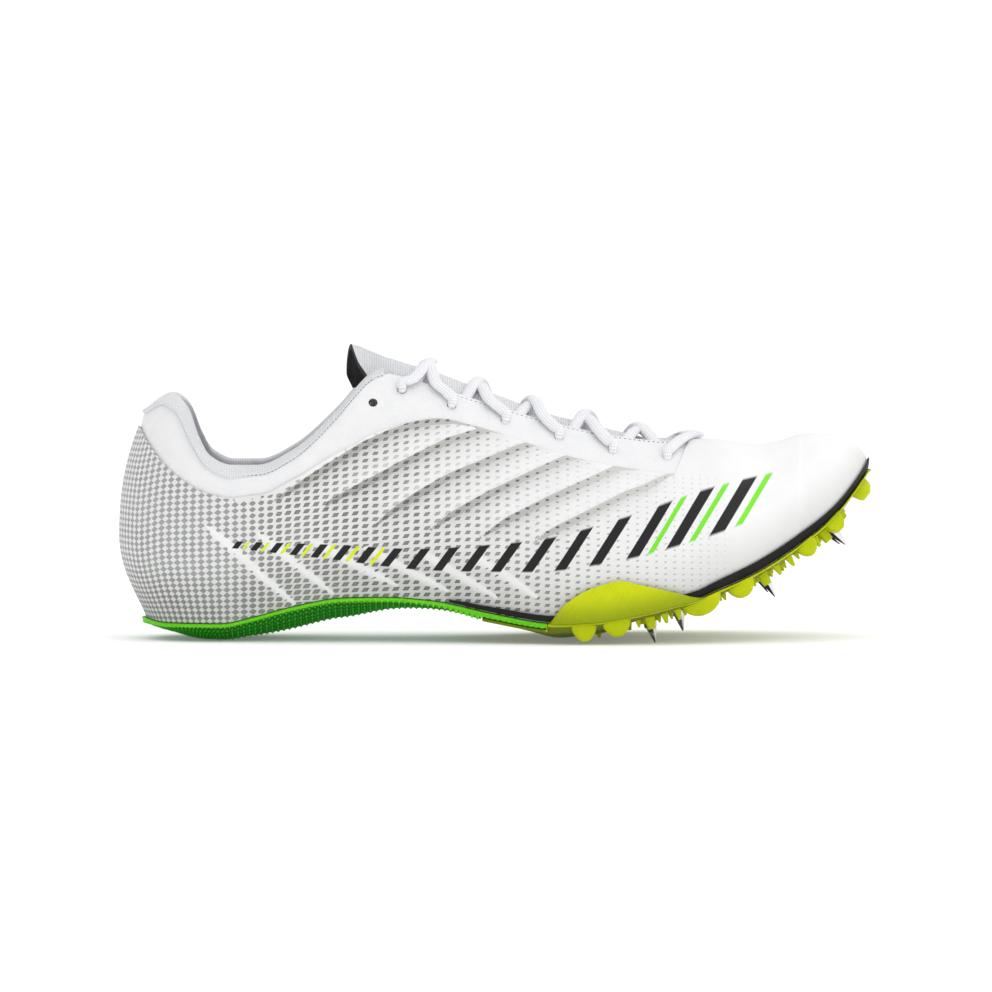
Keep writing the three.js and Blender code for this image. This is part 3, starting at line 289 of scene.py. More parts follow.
COLLAR_LINE = [  # at, share of COLLAR_HEIGHT, of INSTEP_HEIGHT
    (-0.125, 0.94, 0), (-0.103, 0.95, 0), (-0.076, 1, 0), (-0.057, 0.96, 0), (-0.037, 0.835, 0),
    (-0.017, 0.742, 0), (0.016, 0.699, 0), (0.049, 0.699, 0), (0.095, 0.5, 0.28), (0.148, 0.2, 0.762),
    (0.188, 0, 1.131), (0.207, 0, 1.176), (0.227, 0, 1.19), (0.26, 0, 1.2),
]
SHELL_EDGE = [  # at, share of COLLAR_HEIGHT, of INSTEP_HEIGHT, of PANEL_STEP
    (-0.14, 0.94, 0, 1), (-0.116, 0.9, 0, 1), (-0.096, 0.814, 0, 1), (-0.07, 0.72, 0, 1), (-0.05, 0.67, 0, 1),
    (-0.017, 0.617, 0, 1), (0.016, 0.597, 0, 1), (0.049, 0.609, 0, 1), (0.095, 0.45, 0.236, 1),
    (0.148, 0.2, 0.61, 1), (0.188, 0, 0.894, 1), (0.227, 0, 0.948, 0.8), (0.287, 0, 0.987, 0.5),
    (0.342, 0, 0.948, 0.45), (0.46, 0, 0.824, 0.45), (0.523, 0, 0.78, 0.4), (0.611, 0, 0.744, 0),
    (0.725, 0, 0.75, 0), (0.82, 0, 0.81, 0), (0.86, 0, 0.83, 0),
]
COLLAR_FRONT = 0.26
VAMP_X = 0.628 * LENGTH
THROAT = [  # at, half its breadth as a share of BALL_WIDTH
    (0.1, 0.135), (0.214, 0.135), (0.32, 0.15), (0.42, 0.155), (0.5, 0.175), (0.575, 0.168), (0.607, 0.135),
    (0.62, 0.085), (0.628, 0),
]
EYELETS = [  # at, inset from the throat's edge as a share of BALL_WIDTH
    (0.202, 0.105), (0.24, 0.058), (0.306, 0.062), (0.377, 0.066), (0.448, 0.08), (0.519, 0.097),
    (0.591, 0.118),
]


# %% Smooth curves through the tables
def smooth(xs, ys, level_ends=False):
    """A curve through points that never swings past them."""
    xs, ys = np.array(xs, float), np.array(ys, float)
    step, rise = np.diff(xs), np.diff(ys)
    slope = rise / step
    grade = np.zeros(len(xs))
    if not level_ends:
        grade[0], grade[-1] = slope[0], slope[-1]
    for i in range(1, len(xs) - 1):
        if slope[i - 1] * slope[i] > 0:
            before = (2 * step[i] + step[i - 1]) / slope[i - 1]
            after = (step[i] + 2 * step[i - 1]) / slope[i]
            grade[i] = 3 * (step[i - 1] + step[i]) / (before + after)

    def curve(x):
        x = np.clip(x, xs[0], xs[-1])
        i = np.clip(np.searchsorted(xs, x, side="right") - 1, 0, len(xs) - 2)
        t = (x - xs[i]) / step[i]
        start, end = grade[i] * step[i], grade[i + 1] * step[i]
        return ys[i] + t * (start + t * (3 * rise[i] - 2 * start - end + t * (start + end - 2 * rise[i])))

    return curve


def line(table, column):
    """One column of a table as a function of x in millimetres."""
    curve = smooth([row[0] for row in table], [row[column] for row in table])
    return lambda x: curve(np.asarray(x, float) / LENGTH)


def mix(a, b, share):
    return a + (b - a) * share


def ease(value, low, high):
    """0 up to low, 1 from high on, and a soft step between."""
    share = np.clip((value - low) / (high - low), 0, 1)
    return share * share * (3 - 2 * share)


column_curves = {
    name: smooth(range(len(SECTIONS)), [row[i] for row in SECTIONS], True)
    for i, name in enumerate(SECTION_COLUMNS)
}
edge_parts = [line(SOLE_EDGE, column) for column in (1, 2, 3)]
collar_parts = [line(COLLAR_LINE, column) for column in (1, 2)]
shell_parts = [line(SHELL_EDGE, column) for column in (1, 2, 3)]
depth_middle, depth_edge, depth_flat = [line(SOLE_DEPTH, column) for column in (1, 2, 3)]
throat_share = line(THROAT, 1)


def sole_edge(x):
    return HEEL_STACK * edge_parts[0](x) + ARCH_RISE * edge_parts[1](x) + TOE_SPRING * edge_parts[2](x)


def collar_line(x):
    return COLLAR_HEIGHT * collar_parts[0](x) + INSTEP_HEIGHT * collar_parts[1](x)


def shell_line(x):
    return COLLAR_HEIGHT * shell_parts[0](x) + INSTEP_HEIGHT * shell_parts[1](x)


def throat_half(x):
    return BALL_WIDTH * throat_share(x)


# %% [markdown]
# ## Cross-sections
# Each section stands on the shoe's spine and looks sideways, or fans round the heel and the
# toe. Its side is two Bezier curves that meet at the widest point. numpy works out all the
# sections of a piece at once: one row for each section, one column for each point on it.

# %% Cross-sections of the last
WIDEST = 0.4
EDGE_HANDLE = 0.2
SIDE_HANDLE = 0.45
FIRST_STRAIGHT = 3
LAST_STRAIGHT = 12
LAST_SECTION = len(SECTIONS) - 1


def section(side, s):
    """The sizes of one side's section at each station s, one row for each."""
    s = np.atleast_1d(np.asarray(s, float))[:, None]
    value = {name: curve(s) for name, curve in column_curves.items()}
    breadth = mix(HEEL_WIDTH, BALL_WIDTH, value["ball"])
    turn = np.radians(value["turn"])
    x = value["at"] * LENGTH
    ends = "Lat" if side < 0 else "Med"
    return SimpleNamespace(
        x=x, y=value["swing"] * breadth, ahead=np.cos(turn), aside=side * np.sin(turn),
        foot=breadth * value["foot" + ends], wide=breadth * value["side" + ends],
        up=INSTEP_HEIGHT * value["up"], top=sole_edge(x) + INSTEP_HEIGHT * value["crown"],
        open=breadth * value["open"], round=value["round"], lean=value["lean"],
        climb=value["climb"] * np.cos(turn),
    )


def x_at(cut, r):
    return cut.x + cut.ahead * r


def place(cut, r, z):
    """Points in millimetres, from distances off the spine and heights."""
    x, y, z = np.broadcast_arrays(x_at(cut, r), cut.y + cut.aside * r, z)
    return np.stack([x, y, z], axis=-1)


def bezier(a, b, c, d, t):
    u = 1 - t
    return u * u * u * a + 3 * u * u * t * b + 3 * u * t * t * c + t * t * t * d


def profile(cut, t, out=0.0):
    """Distance off the spine and height at t, which runs from the sole edge to the top."""
    foot, wide = cut.foot + out, cut.wide + out
    opened = np.where(cut.open > 0, cut.open + out, 0)
    floor = sole_edge(x_at(cut, foot))
    middle, low, top = floor + cut.up, floor - out, cut.top + out
    shoulder = mix(opened, wide, cut.round)
    a = np.clip(t / WIDEST, 0, 1)
    b = np.clip((t - WIDEST) / (1 - WIDEST), 0, 1)
    low_r = bezier(foot, mix(foot, wide, EDGE_HANDLE), wide, wide, a)
    low_z = bezier(low, mix(low, middle, EDGE_HANDLE), mix(middle, low, SIDE_HANDLE), middle, a)
    high_r = bezier(wide, wide, shoulder, opened, b)
    leaning = mix(top, middle, cut.lean) + cut.climb * shoulder
    high_z = bezier(middle, mix(middle, top, SIDE_HANDLE), leaning, top, b)
    return np.where(t <= WIDEST, low_r, high_r), np.where(t <= WIDEST, low_z, high_z)


def reach(cut, passes, start=0.0, none=1.0):
    """The first t at which passes(r, z) turns positive, one for each section."""
    t = np.linspace(start, 1, 601)[None, :]
    value = passes(*profile(cut, t))
    positive = value > 0
    first = positive.argmax(axis=1)
    before = np.maximum(first - 1, 0)
    rows = np.arange(len(value))
    a, b = value[rows, before], value[rows, first]
    share = np.where(first > 0, a / np.where(a == b, 1, a - b), 0)
    found = mix(t[0, before], t[0, first], share)[:, None]
    return np.where(positive.any(axis=1)[:, None], found, none)


def rim_at(cut):
    """Where each section ends: at the collar, at the throat's edge, or on the middle line."""
    behind = cut.x < COLLAR_FRONT * LENGTH
    collar = reach(cut, lambda r, z: np.where(behind, z - collar_line(x_at(cut, r)), -1))
    throat = reach(cut, lambda r, z: throat_half(cut.x) - r, WIDEST)
    return np.where(cut.x >= VAMP_X - 1e-6, 1.0, np.minimum(collar, throat))


SHELL_CLOSES = 167.0  # ahead of here the mesh shell runs on up to the vamp point
SHELL_USUAL, SHELL_MOST = 0.85, 0.94  # how near the rim its edge may lie
PAD_FROM = 0.545
PAD_AHEAD, PAD_FADE = 0.2, 0.04


def shell_edge_at(cut, rim):
    """Where the mesh shell's cut edge lies on each section."""
    edge = reach(cut, lambda r, z: z - shell_line(x_at(cut, r)), 0.0, SHELL_USUAL * rim)
    return mix(np.minimum(edge, SHELL_MOST * rim), rim, ease(cut.x, SHELL_CLOSES, VAMP_X))


def panel_out(cut, share):
    """How far the smooth panel stands off the last, from its lower edge to the rim."""
    return (PANEL_PUFF * np.sin(np.pi * share) - PANEL_STEP) * shell_parts[2](x_at(cut, cut.wide))


def pad_at(cut, share):
    """How much the padding at the ankle thickens the wall inwards."""
    fade = np.clip((PAD_AHEAD - cut.x / LENGTH) / PAD_FADE, 0, 1)
    risen = np.clip((share - PAD_FROM) / (1 - PAD_FROM), 0, 1)
    return COLLAR_PAD * fade * np.sin(np.pi / 2 * risen)


straight_s = np.linspace(FIRST_STRAIGHT, LAST_STRAIGHT, 4001)
straight_x = column_curves["at"](straight_s) * LENGTH


def station_at(x):
    """The station of the section that stands at x."""
    return np.interp(x, straight_x, straight_s)


def distance_along(points):
    """How far each point of a path lies from the first."""
    steps = np.linalg.norm(np.diff(points, axis=0), axis=1)
    return np.concatenate([[0], np.cumsum(steps)])


def even_stations(step, start=0.0, end=float(LAST_SECTION), fixed=()):
    """Stations about `step` millimetres apart along the widest line, and some fixed ones."""
    fine = np.linspace(start, end, 4001)
    cut = section(OUTER_SIDE, fine)
    along = distance_along(place(cut, *profile(cut, np.array([[WIDEST]])))[:, 0])
    marks = sorted([start, end, *fixed])
    parts = []
    for a, b in zip(marks[:-1], marks[1:]):
        length_a, length_b = np.interp([a, b], fine, along)
        count = max(1, round((length_b - length_a) / step))
        parts.append(np.interp(np.linspace(length_a, length_b, count + 1)[:-1], along, fine))
    return np.concatenate([*parts, [end]])


print("stations round one side at 1 mm:", len(even_stations(1.0)))

# %% [markdown]
# ## From rows of points to a piece
# Nearly every piece here is a closed skin of four-sided faces: rings of points, one ring for
# each station, joined to the next. One helper makes the mesh, welds the places where rings
# meet, turns the faces outward, and hides the solids it stands for. The numbers that a
# material needs, such as millimetres along the fabric, ride along on the points.


# %% Meshes from rings
def ring_faces(rings, ring_size, loop_rings=False, loop_points=True, skip=None):
    """Faces between neighbouring rings of points. skip is a true or false for each face."""
    ring = np.arange(rings if loop_rings else rings - 1)[:, None]
    point = np.arange(ring_size if loop_points else ring_size - 1)[None, :]
    next_ring = (ring + 1) % rings
    next_point = (point + 1) % ring_size
    corners = np.broadcast_arrays(
        ring * ring_size + point, ring * ring_size + next_point,
        next_ring * ring_size + next_point, next_ring * ring_size + point,
    )
    faces = np.stack(corners, axis=-1)
    return faces[~skip] if skip is not None else faces.reshape(-1, 4)


def make_piece(name, points, faces, finishes, slot, stands_for=(), face_finish=None, carried=None,
               weld=0.01, sharp=50):
    """A mesh object in its place, riding on the shoe and standing for its solids."""
    mesh = bpy.data.meshes.new(name)
    faces = [tuple(face) for face in faces]
    mesh.from_pydata((np.asarray(points) * 0.001).tolist(), [], faces)
    for finish in finishes:
        mesh.materials.append(finish.material)
    if face_finish is not None:
        mesh.polygons.foreach_set("material_index", np.asarray(face_finish, np.int32))
    for title, values in (carried or {}).items():
        layer = mesh.attributes.new(title, "FLOAT_VECTOR", "POINT")
        layer.data.foreach_set("vector", np.asarray(values, np.float32).ravel())
    skin = bmesh.new()
    skin.from_mesh(mesh)
    bmesh.ops.remove_doubles(skin, verts=skin.verts, dist=weld * 0.001)
    bmesh.ops.dissolve_degenerate(skin, edges=skin.edges, dist=weld * 0.0002)
    bmesh.ops.recalc_face_normals(skin, faces=skin.faces)
    loose = [vert for vert in skin.verts if not vert.link_faces]
    bmesh.ops.delete(skin, geom=loose, context="VERTS")
    open_edges = sum(not edge.is_manifold for edge in skin.edges)
    skin.to_mesh(mesh)
    skin.free()
    mesh.polygons.foreach_set("use_smooth", [True] * len(mesh.polygons))
    mesh.set_sharp_from_angle(angle=math.radians(sharp))
    piece = bpy.data.objects.new(name, mesh)
    bpy.context.scene.collection.objects.link(piece)
    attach(piece, "root")
    if stands_for:
        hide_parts(*stands_for)
    triangles = sum(len(face.vertices) - 2 for face in mesh.polygons)
    print(f"{name}: {triangles} triangles, {open_edges} open edges")
    return piece


def joined(parts):
    """Several (points, faces) pairs as one."""
    points, faces, count = [], [], 0
    for part_points, part_faces in parts:
        points.append(np.asarray(part_points).reshape(-1, 3))
        faces += [tuple(int(i) + count for i in face) for face in part_faces]
        count += len(points[-1])
    return np.concatenate(points), faces


def round_the_shoe(lines):
    """The outer side's lines from toe to heel, and on along the inner side back to the toe."""
    outer, inner = lines
    return np.concatenate([outer[::-1], inner[1:]])


# %% [markdown]
# ## Where the mesh is creased, printed and perforated
# The mesh shell has two families of folds that meet in arrow points: broad grooves that climb
# towards the eyestay, and thin ridges that fall towards the sole. They are placed as lines on
# the shoe's side, in millimetres ahead of the heel and over the floor, and lower or lift the
# skin. A distance to the nearest line gives both the relief and its shading.

# %% Lines of the folds
GROOVES = [
    [
        (14.8, 49.2), (40.7, 65.5), (51.8, 72.5), (62.5, 77.7), (69.9, 80.3), (78.8, 82.1), (86.2, 82.1),
        (98.4, 79.2),
    ],
    [
        (35.1, 44.8), (40.7, 52.2), (55.3, 59.6), (69.9, 67.5), (84.6, 74.9), (97.7, 78.8), (100, 79.3),
        (113.1, 75.4),
    ],
    [
        (53.1, 39.7), (62.5, 47.7), (73.6, 55.1), (84.6, 61.4), (99.2, 67.5), (109.5, 71.9), (116, 74),
        (129.1, 70.4),
    ],
    [(72.9, 38.3), (84.6, 46.6), (99.2, 54.8), (113.8, 61.8), (126.9, 67.9), (132.1, 69.2), (146, 66.1)],
    [(91.9, 36.1), (106.6, 45.5), (121.2, 52.9), (135.8, 59.6), (146.9, 64.8), (149.7, 65.3), (163.9, 63.6)],
    [(112.4, 34.6), (121.2, 40.5), (135.8, 47.7), (150.4, 55.1), (156.9, 57.4), (166.1, 62.2), (172.4, 62.6)],
]
RIDGES = [
    [(-7.4, 45.5), (4.4, 35.1), (17, 23.3), (27.4, 14.6)],
    [(11.5, 42.5), (22.2, 33.7), (41.4, 18.5)],
    [(31.1, 39.6), (48.1, 30), (65.1, 21.5)],
    [(51, 37), (68, 27.5), (84, 19.5)],
    [(71, 35.5), (87, 26), (102, 17)],
    [(92, 33.5), (106, 24.5), (117, 17)],
]
GROOVE_HALF = 1.3
RIDGE_HALF = 1.5
OUTER_PLANE = 29  # half the shoe's breadth where the side is seen
CAMERA_SLOPE = 0.049  # how much higher a point appears for each millimetre further away


def near_line(x, z, points):
    """Distance to a line of points, positive above it, and how far along it that is, from 0 to 1."""
    points = np.array(points, float)
    lengths = np.linalg.norm(np.diff(points, axis=0), axis=1)
    starts = np.concatenate([[0], np.cumsum(lengths)])
    best, along, above = np.full(x.shape, 1e9), np.zeros(x.shape), np.ones(x.shape)
    for (ax, az), (bx, bz), start, length in zip(points[:-1], points[1:], starts, lengths):
        share = np.clip(((x - ax) * (bx - ax) + (z - az) * (bz - az)) / length ** 2, 0, 1)
        gap = np.hypot(x - mix(ax, bx, share), z - mix(az, bz, share))
        nearer = gap < best
        along = np.where(nearer, (start + share * length) / starts[-1], along)
        above = np.where(nearer, np.sign((bx - ax) * (z - az) - (bz - az) * (x - ax)), above)
        best = np.minimum(gap, best)
    return best * above, along


def side_view(points):
    """Where points of either side appear from the side: ahead of the heel, over the floor."""
    lifted = CAMERA_SLOPE * (OUTER_PLANE - np.abs(points[..., 1]))
    return points[..., 0], points[..., 2] + lifted


def fold_at(x, z):
    """For each point: how deep in a groove it is, the shade under grooves and the crest over them."""
    depth, shade, crest = np.full(x.shape, -3.0), np.zeros(x.shape), np.zeros(x.shape)
    for groove in GROOVES:
        offset, along = near_line(x, z, groove)
        half = GROOVE_HALF * (0.15 + 0.85 * ease(along, 0, 0.25)) * (1.03 - ease(along, 0.8, 1.0))
        depth = np.maximum(depth, 1 - np.abs(offset) / half - 2 * (1 - ease(along, 0.0, 0.08)))
        full = ease(along, 0, 0.3) * (1 - ease(along, 0.75, 0.95))
        shade = np.maximum(shade, full * (1 - ease(-offset, 0.6, 5.5)) * ease(-offset, -0.6, 0.4))
        crest = np.maximum(crest, full * ease(offset, -0.4, 0.8) * (1 - ease(offset, 1.5, 8.0)))
    return depth, shade, crest


def ridge_at(x, z):
    """How high on a ridge each point is."""
    height = np.full(x.shape, -3.0)
    for ridge in RIDGES:
        gap, along = near_line(x, z, ridge)
        half = RIDGE_HALF * (0.2 + 0.8 * ease(along, 0, 0.2)) * (1.1 - 0.6 * ease(along, 0.8, 1.0))
        height = np.maximum(height, 1 - np.abs(gap) / half - 2 * (1 - ease(along, 0.0, 0.1)))
    return height


# %% [markdown]
# ## Print and pinholes
# The lozenges of the print are large and close at the heel and shrink to pinholes on the
# forefoot. One number that grows forwards and upwards sets their size and how grey the ground
# is. Along the side runs a row of slanted bars that widens towards the toe. It is a plain,
# generic pattern of this lesson's own.

# %% Amounts of print
forward = lambda x, z: x + 0.9 * (z - 35)
HOLE_SIZE = smooth(
    (-40, 0, 40, 80, 110, 135, 160, 185, 215),
    (1.3, 1.2, 0.98, 0.84, 0.7, 0.52, 0.4, 0.33, 0.25),
)
GREYNESS = smooth((-40, -15, 20, 70, 110, 150, 180), (0.75, 0.7, 0.8, 0.95, 0.65, 0.25, 0))
COLUMN_PITCH = smooth((-40, 0, 40, 90, 130, 170, 215), (3.0, 3.2, 3.6, 4.0, 3.8, 3.45, 3.3))
ROW_PITCH = smooth((-40, 0, 50, 100, 140, 215), (2.15, 2.25, 2.45, 2.65, 2.35, 2.1))
MESH_TOP = smooth(
    (-42, -28.9, -17, -4.8, 6.3, 19.2, 35.5, 51.4, 67.7, 81.4, 92.5, 103.6, 114.7, 133.2, 155.4, 173.9, 190),
    (86, 80, 63.6, 55.9, 52.9, 55.1, 64.4, 74, 82.1, 84, 81, 76.5, 73, 67.5, 63, 62.2, 62.2),
)
BARS_START, BARS_END = 7.0, 209.0
BAR_PLACES = (5.5, 40.7, 77.7, 114.7, 148, 177.6, 215)
BAR_MIDDLE = smooth(BAR_PLACES, (36.3, 33.7, 30.9, 32, 38.3, 47.4, 59))
BAR_HALF = smooth(BAR_PLACES, (1.4, 2.9, 4.3, 6.1, 8.2, 9.4, 7))
BAR_PITCH = smooth((0, 120, 220), (6.5, 12.5, 19))
BAR_SLANT = 0.75
bar_x = np.linspace(-60, 300, 3601)
bar_count = np.cumsum(0.1 / BAR_PITCH(bar_x))


def shell_amounts(points):
    """The numbers that the mesh shell's material reads at each point."""
    x, z = side_view(points)
    size = HOLE_SIZE(forward(x, z)) * (z < MESH_TOP(x))
    film = ease(x, 176, 200)
    middle = BAR_MIDDLE(x)
    across = (z - middle) / BAR_HALF(x)
    bar = np.interp(x - BAR_SLANT * (z - middle), bar_x, bar_count)
    return {
        "print": np.stack([size, GREYNESS(forward(x, z)), film], axis=-1),
        "fold": np.stack(fold_at(x, z), axis=-1),
        "ridge": np.stack([ridge_at(x, z), x, z - sole_edge(x)], axis=-1),
        "bars": np.stack([across, bar, 0 * x], axis=-1),
    }


def shell_relief(points):
    """How far the folds lift the mesh shell off the last."""
    x, z = side_view(points)
    depth, shade, crest = fold_at(x, z)
    sunk = ease(depth, -0.15, 0.6)
    swell = (0.45 * crest - 0.25 * shade) * (1 - sunk)
    relief = swell - 0.55 * sunk + 0.35 * ease(ridge_at(x, z), -0.2, 0.9)
    return relief * ease(z - sole_edge(x), 2, 8)


first_bar, last_bar = np.interp([BARS_START, BARS_END], bar_x, bar_count).round()
print("bars on each side:", last_bar - first_bar)

# %% [markdown]
# ## Material of the mesh shell
# A printed mesh could be woven thread by thread, but the holes are a millimetre wide and there
# are thousands, so they are drawn. The points carry a count of columns along the fabric and of
# rows up it. Each cell of that count holds a lozenge, darker and a little sunken, with the
# lighter thread behind it in its middle. At the heel the lozenges turn into diamonds.

# %% Lozenges
mesh_look = Finish("printed_mesh", **{"Specular IOR Level": 0.3, "Sheen Weight": 0.15})
blend = mesh_look.blend
column, row, _ = mesh_look.attribute("lattice")
size, grey, film = mesh_look.attribute("print")
depth, shade, crest = mesh_look.attribute("fold")
ridge, ahead, over_sole = mesh_look.attribute("ridge")

CELL_LENGTH, CELL_HEIGHT = 3.6, 2.4
aside = column.offset() * CELL_LENGTH
above = row.offset() * CELL_HEIGHT
slanted = (abs(above) / 0.74).top(abs(aside - 0.6 * above) / 1.06)
diamond = abs(aside) / 1.4 + abs(above) / 1.02
heelness = 1 - ahead.rise(2.0, 30.0)
shape = slanted * (1 - heelness) + diamond * heelness
plain = ridge.rise(-0.4, 0.9).top(film)
hole_size = size * (1 - plain)
EDGE_SHARPNESS = 7
hole = ((hole_size - shape) * EDGE_SHARPNESS + 0.5).clamped() * hole_size.rise(0.05, 0.15)
print("lozenges:", len(mesh_look.tree.nodes), "nodes")

# %% [markdown]
# ## Ground of the mesh shell
# Under the print lies a fine knit grain. The ground turns greyer towards the sole. Painted shade
# greys it low on the toe, under the grooves and in them, and a painted highlight whitens it on
# the crests and ridges. The toe has a smooth film on top.

# %% Ground and grain
along, up, _ = mesh_look.attribute("fabric")
GRAIN = 0.62
knit_grain = (along + 0.5 * up).wave(GRAIN) * (along - 0.5 * up).wave(GRAIN)
blotch = mesh_look.noise(9.0)
speckle = mesh_look.noise(0.45)
groove_shade = depth.rise(-0.08, 0.16)
low = 1 - over_sole.rise(4.0, 25.0)
toe_shade = (1 - over_sole.rise(3.0, 24.0)) * ahead.rise(140.0, 190.0)
unfilmed = 1 - film
ground = blend(grey, ink(240, 240, 240), ink(226, 226, 224))
ground = blend(low * grey * 0.8, ground, ink(192, 192, 188))
# Painted shade low on the toe, under each groove and in it; painted highlight on the crests and ridges
ground = blend(toe_shade * 0.75, ground, ink(204, 204, 202))
ground = blend(shade * (0.35 + 0.25 * grey), ground, ink(170, 170, 166))
ground = blend((crest * 0.9).top(ridge.rise(-0.7, 0.7) * 0.8), ground, ink(243, 243, 243))
ground = blend(groove_shade, ground, blend(grey, ink(206, 206, 203), ink(158, 158, 154)))
ground = blend(blotch.rise(0.35, 0.75) * 0.15, ground, ink(216, 217, 216))
ground = blend(knit_grain.rise(-1.0, 1.0) * unfilmed * 0.1, ground, ink(196, 198, 197))
ground = blend(speckle.rise(0.45, 0.7) * unfilmed * 0.14, ground, ink(204, 206, 204))

hole_tone = blend(heelness, ink(72, 73, 70), ink(124, 126, 128))
# Painted shade darkens the lozenges in the grooves; they also turn darker towards the sole
hole_tone = blend((groove_shade * 0.8).top(low * 0.9) * grey, hole_tone, ink(46, 47, 46))
thread_behind = (hole_size - shape).rise(0.18, 0.5) * (1 - heelness)
hole_tone = blend(thread_behind * 0.45, hole_tone, ink(150, 151, 147))
# Painted highlight pales the lozenges on the crests, and painted shade makes them bolder in the grooves
crest_highlight = crest * (1 - groove_shade) * (1 - heelness)
boldness = (0.3 + 0.75 * grey - 0.6 * crest_highlight + 0.4 * groove_shade).least(1.0).top(0.1)
coloured = blend(hole * boldness * (1.0 - 0.25 * blotch), ground, hole_tone)
print("with ground and grain:", len(mesh_look.tree.nodes), "nodes")

# %% [markdown]
# ## Bars on the mesh shell
# The points count the bars along the row, and say how far across it they are. The share of a
# turn then tells black bar from thin accent, which is yellow at the heel and green at the toe.

# %% Bars
YELLOW_BARS, GREEN_BARS = 7, 3
across, bar, _ = mesh_look.attribute("bars")
turn = bar - bar.math("FLOOR", bar)
stripe = ((1 - abs(across)) * 9).clamped()
stripe = stripe * bar.rise(first_bar - 0.01, first_bar) * (1 - bar.rise(last_bar - 0.01, last_bar))
black = turn.rise(0.04, 0.06) * (1 - turn.rise(0.38, 0.4)) * stripe
accent = turn.rise(0.58, 0.6) * (1 - turn.rise(0.74, 0.76)) * stripe
yellow = accent * (1 - bar.rise(first_bar + YELLOW_BARS - 0.1, first_bar + YELLOW_BARS))
green = accent * bar.rise(last_bar - GREEN_BARS - 0.01, last_bar - GREEN_BARS)
coloured = blend(yellow, coloured, ink(219, 232, 10))
coloured = blend(green, coloured, ink(122, 226, 40))
coloured = blend(black, coloured, ink(14, 14, 15))
printed = black.top(yellow).top(green)

grain = 0.15 * (knit_grain + speckle) * unfilmed
mesh_look.bump(0.6 - 0.5 * hole * (1 - printed) + grain + 0.2 * printed, 0.2)
mesh_look.set(Base_Color=coloured, Roughness=0.78 - 0.3 * film - 0.25 * printed)
print("printed mesh:", len(mesh_look.tree.nodes), "nodes")

# %% [markdown]
# ## Mesh shell
# The outer skin of the upper. At each station a closed ring runs from the margin under the
# foot up the outside, over the cut edge and down the inside again. Ahead of the throat the two
# sides meet along the middle, so there the cut edge is left out and the sides are welded.

# %% Mesh shell
SHELL_THICKNESS = 0.7
SHELL_ROWS = 100
SHELL_LINING_ROWS = 8


def shell_lines(side, stations):
    """Rings of the shell, what its fabric and lattice measure there, and where it is closed."""
    cut = section(side, stations)
    edge = shell_edge_at(cut, rim_at(cut))
    shares = np.linspace(0, 1, SHELL_ROWS + 1)[None, :]
    outside = place(cut, *profile(cut, edge * shares))
    lift = shell_relief(outside) * (1 - shares ** 24)
    outside = place(cut, *profile(cut, edge * shares, lift))
    inside_t = edge * np.linspace(1, 0, SHELL_LINING_ROWS + 1)[None, :]
    inside = place(cut, *profile(cut, inside_t, -SHELL_THICKNESS))
    inward = cut.foot - MARGIN
    low = place(cut, inward, sole_edge(x_at(cut, inward)))
    high = place(cut, inward, sole_edge(x_at(cut, inward)) + SHELL_THICKNESS)
    ring = np.concatenate([low, outside, inside, high], axis=1)
    steps = np.linalg.norm(np.diff(ring, axis=1), axis=2)
    height = np.concatenate([np.zeros((len(ring), 1)), np.cumsum(steps, axis=1)], axis=1) - MARGIN
    widest = place(cut, *profile(cut, np.array([[WIDEST]])))[:, 0]
    length = distance_along(widest)
    fabric = np.stack(np.broadcast_arrays(length[:, None], height, 0.0), axis=-1)
    middle = (widest[1:, 0] + widest[:-1, 0]) / 2
    columns = np.concatenate([[0], np.cumsum(np.diff(length) / COLUMN_PITCH(middle))])
    rows = (height + sole_edge(ring[..., 0])) / ROW_PITCH(ring[..., 0])
    lattice = np.stack(np.broadcast_arrays(columns[:, None], rows, 0.0), axis=-1)
    return ring, fabric, lattice, (cut.x[:, 0] >= VAMP_X - 1e-6)


def skin_faces(rings, closed, rim_row):
    """Faces of a skin that goes once round the shoe, without the cut edge where it is closed."""
    ring_size = rings.shape[1]
    skip = np.zeros((len(rings), ring_size), bool)
    skip[:, rim_row] = closed & np.roll(closed, -1)
    return ring_faces(len(rings) - 1, ring_size, loop_rings=True, skip=skip[:-1])


vamp_station = float(station_at(VAMP_X))
stations = even_stations(0.85, fixed=(vamp_station,))
sides = zip(*[shell_lines(side, stations) for side in SIDES])
rings, fabric, lattice, closed = [round_the_shoe(pair) for pair in sides]
points = rings[:-1].reshape(-1, 3)
make_piece(
    "mesh_shell", points, skin_faces(rings, closed, SHELL_ROWS + 1), [mesh_look], "mesh", ["upper"],
    carried={
        "fabric": fabric[:-1].reshape(-1, 3), "lattice": lattice[:-1].reshape(-1, 3), **shell_amounts(points),
    },
)

# %% [markdown]
# ## Collar and eyestay panel, with the lining
# Under the mesh shell lies a soft bootee. It shows above the shell's edge as a smooth padded
# panel of white synthetic leather, turns over at the rim and runs down the inside as lining.
# It is one closed skin with two finishes. The eyelets are cut through it by a Boolean
# modifier, as a punch does, so each is a real hole.

# %% Panel and lining materials
panel_look = Finish("white_synthetic_leather", **{"Specular IOR Level": 0.4})
cells = {"Vector": panel_look.place(), "Scale": 1.4}
leather_grain = panel_look.node("ShaderNodeTexVoronoi", {"feature": "DISTANCE_TO_EDGE"}, cells)
pores = Wire(panel_look, leather_grain.outputs[0]).rise(0.0, 0.25)
wrinkle = panel_look.noise(6.0, 3.0)
tone = panel_look.blend(wrinkle.rise(0.3, 0.8) * 0.35, ink(238, 238, 239), ink(222, 223, 225))
tone = panel_look.blend((1 - pores) * 0.15, tone, ink(200, 202, 205))
panel_look.set(Base_Color=tone, Roughness=0.5 + 0.12 * wrinkle)
panel_look.bump(0.35 * pores + 0.65 * wrinkle, 0.12)

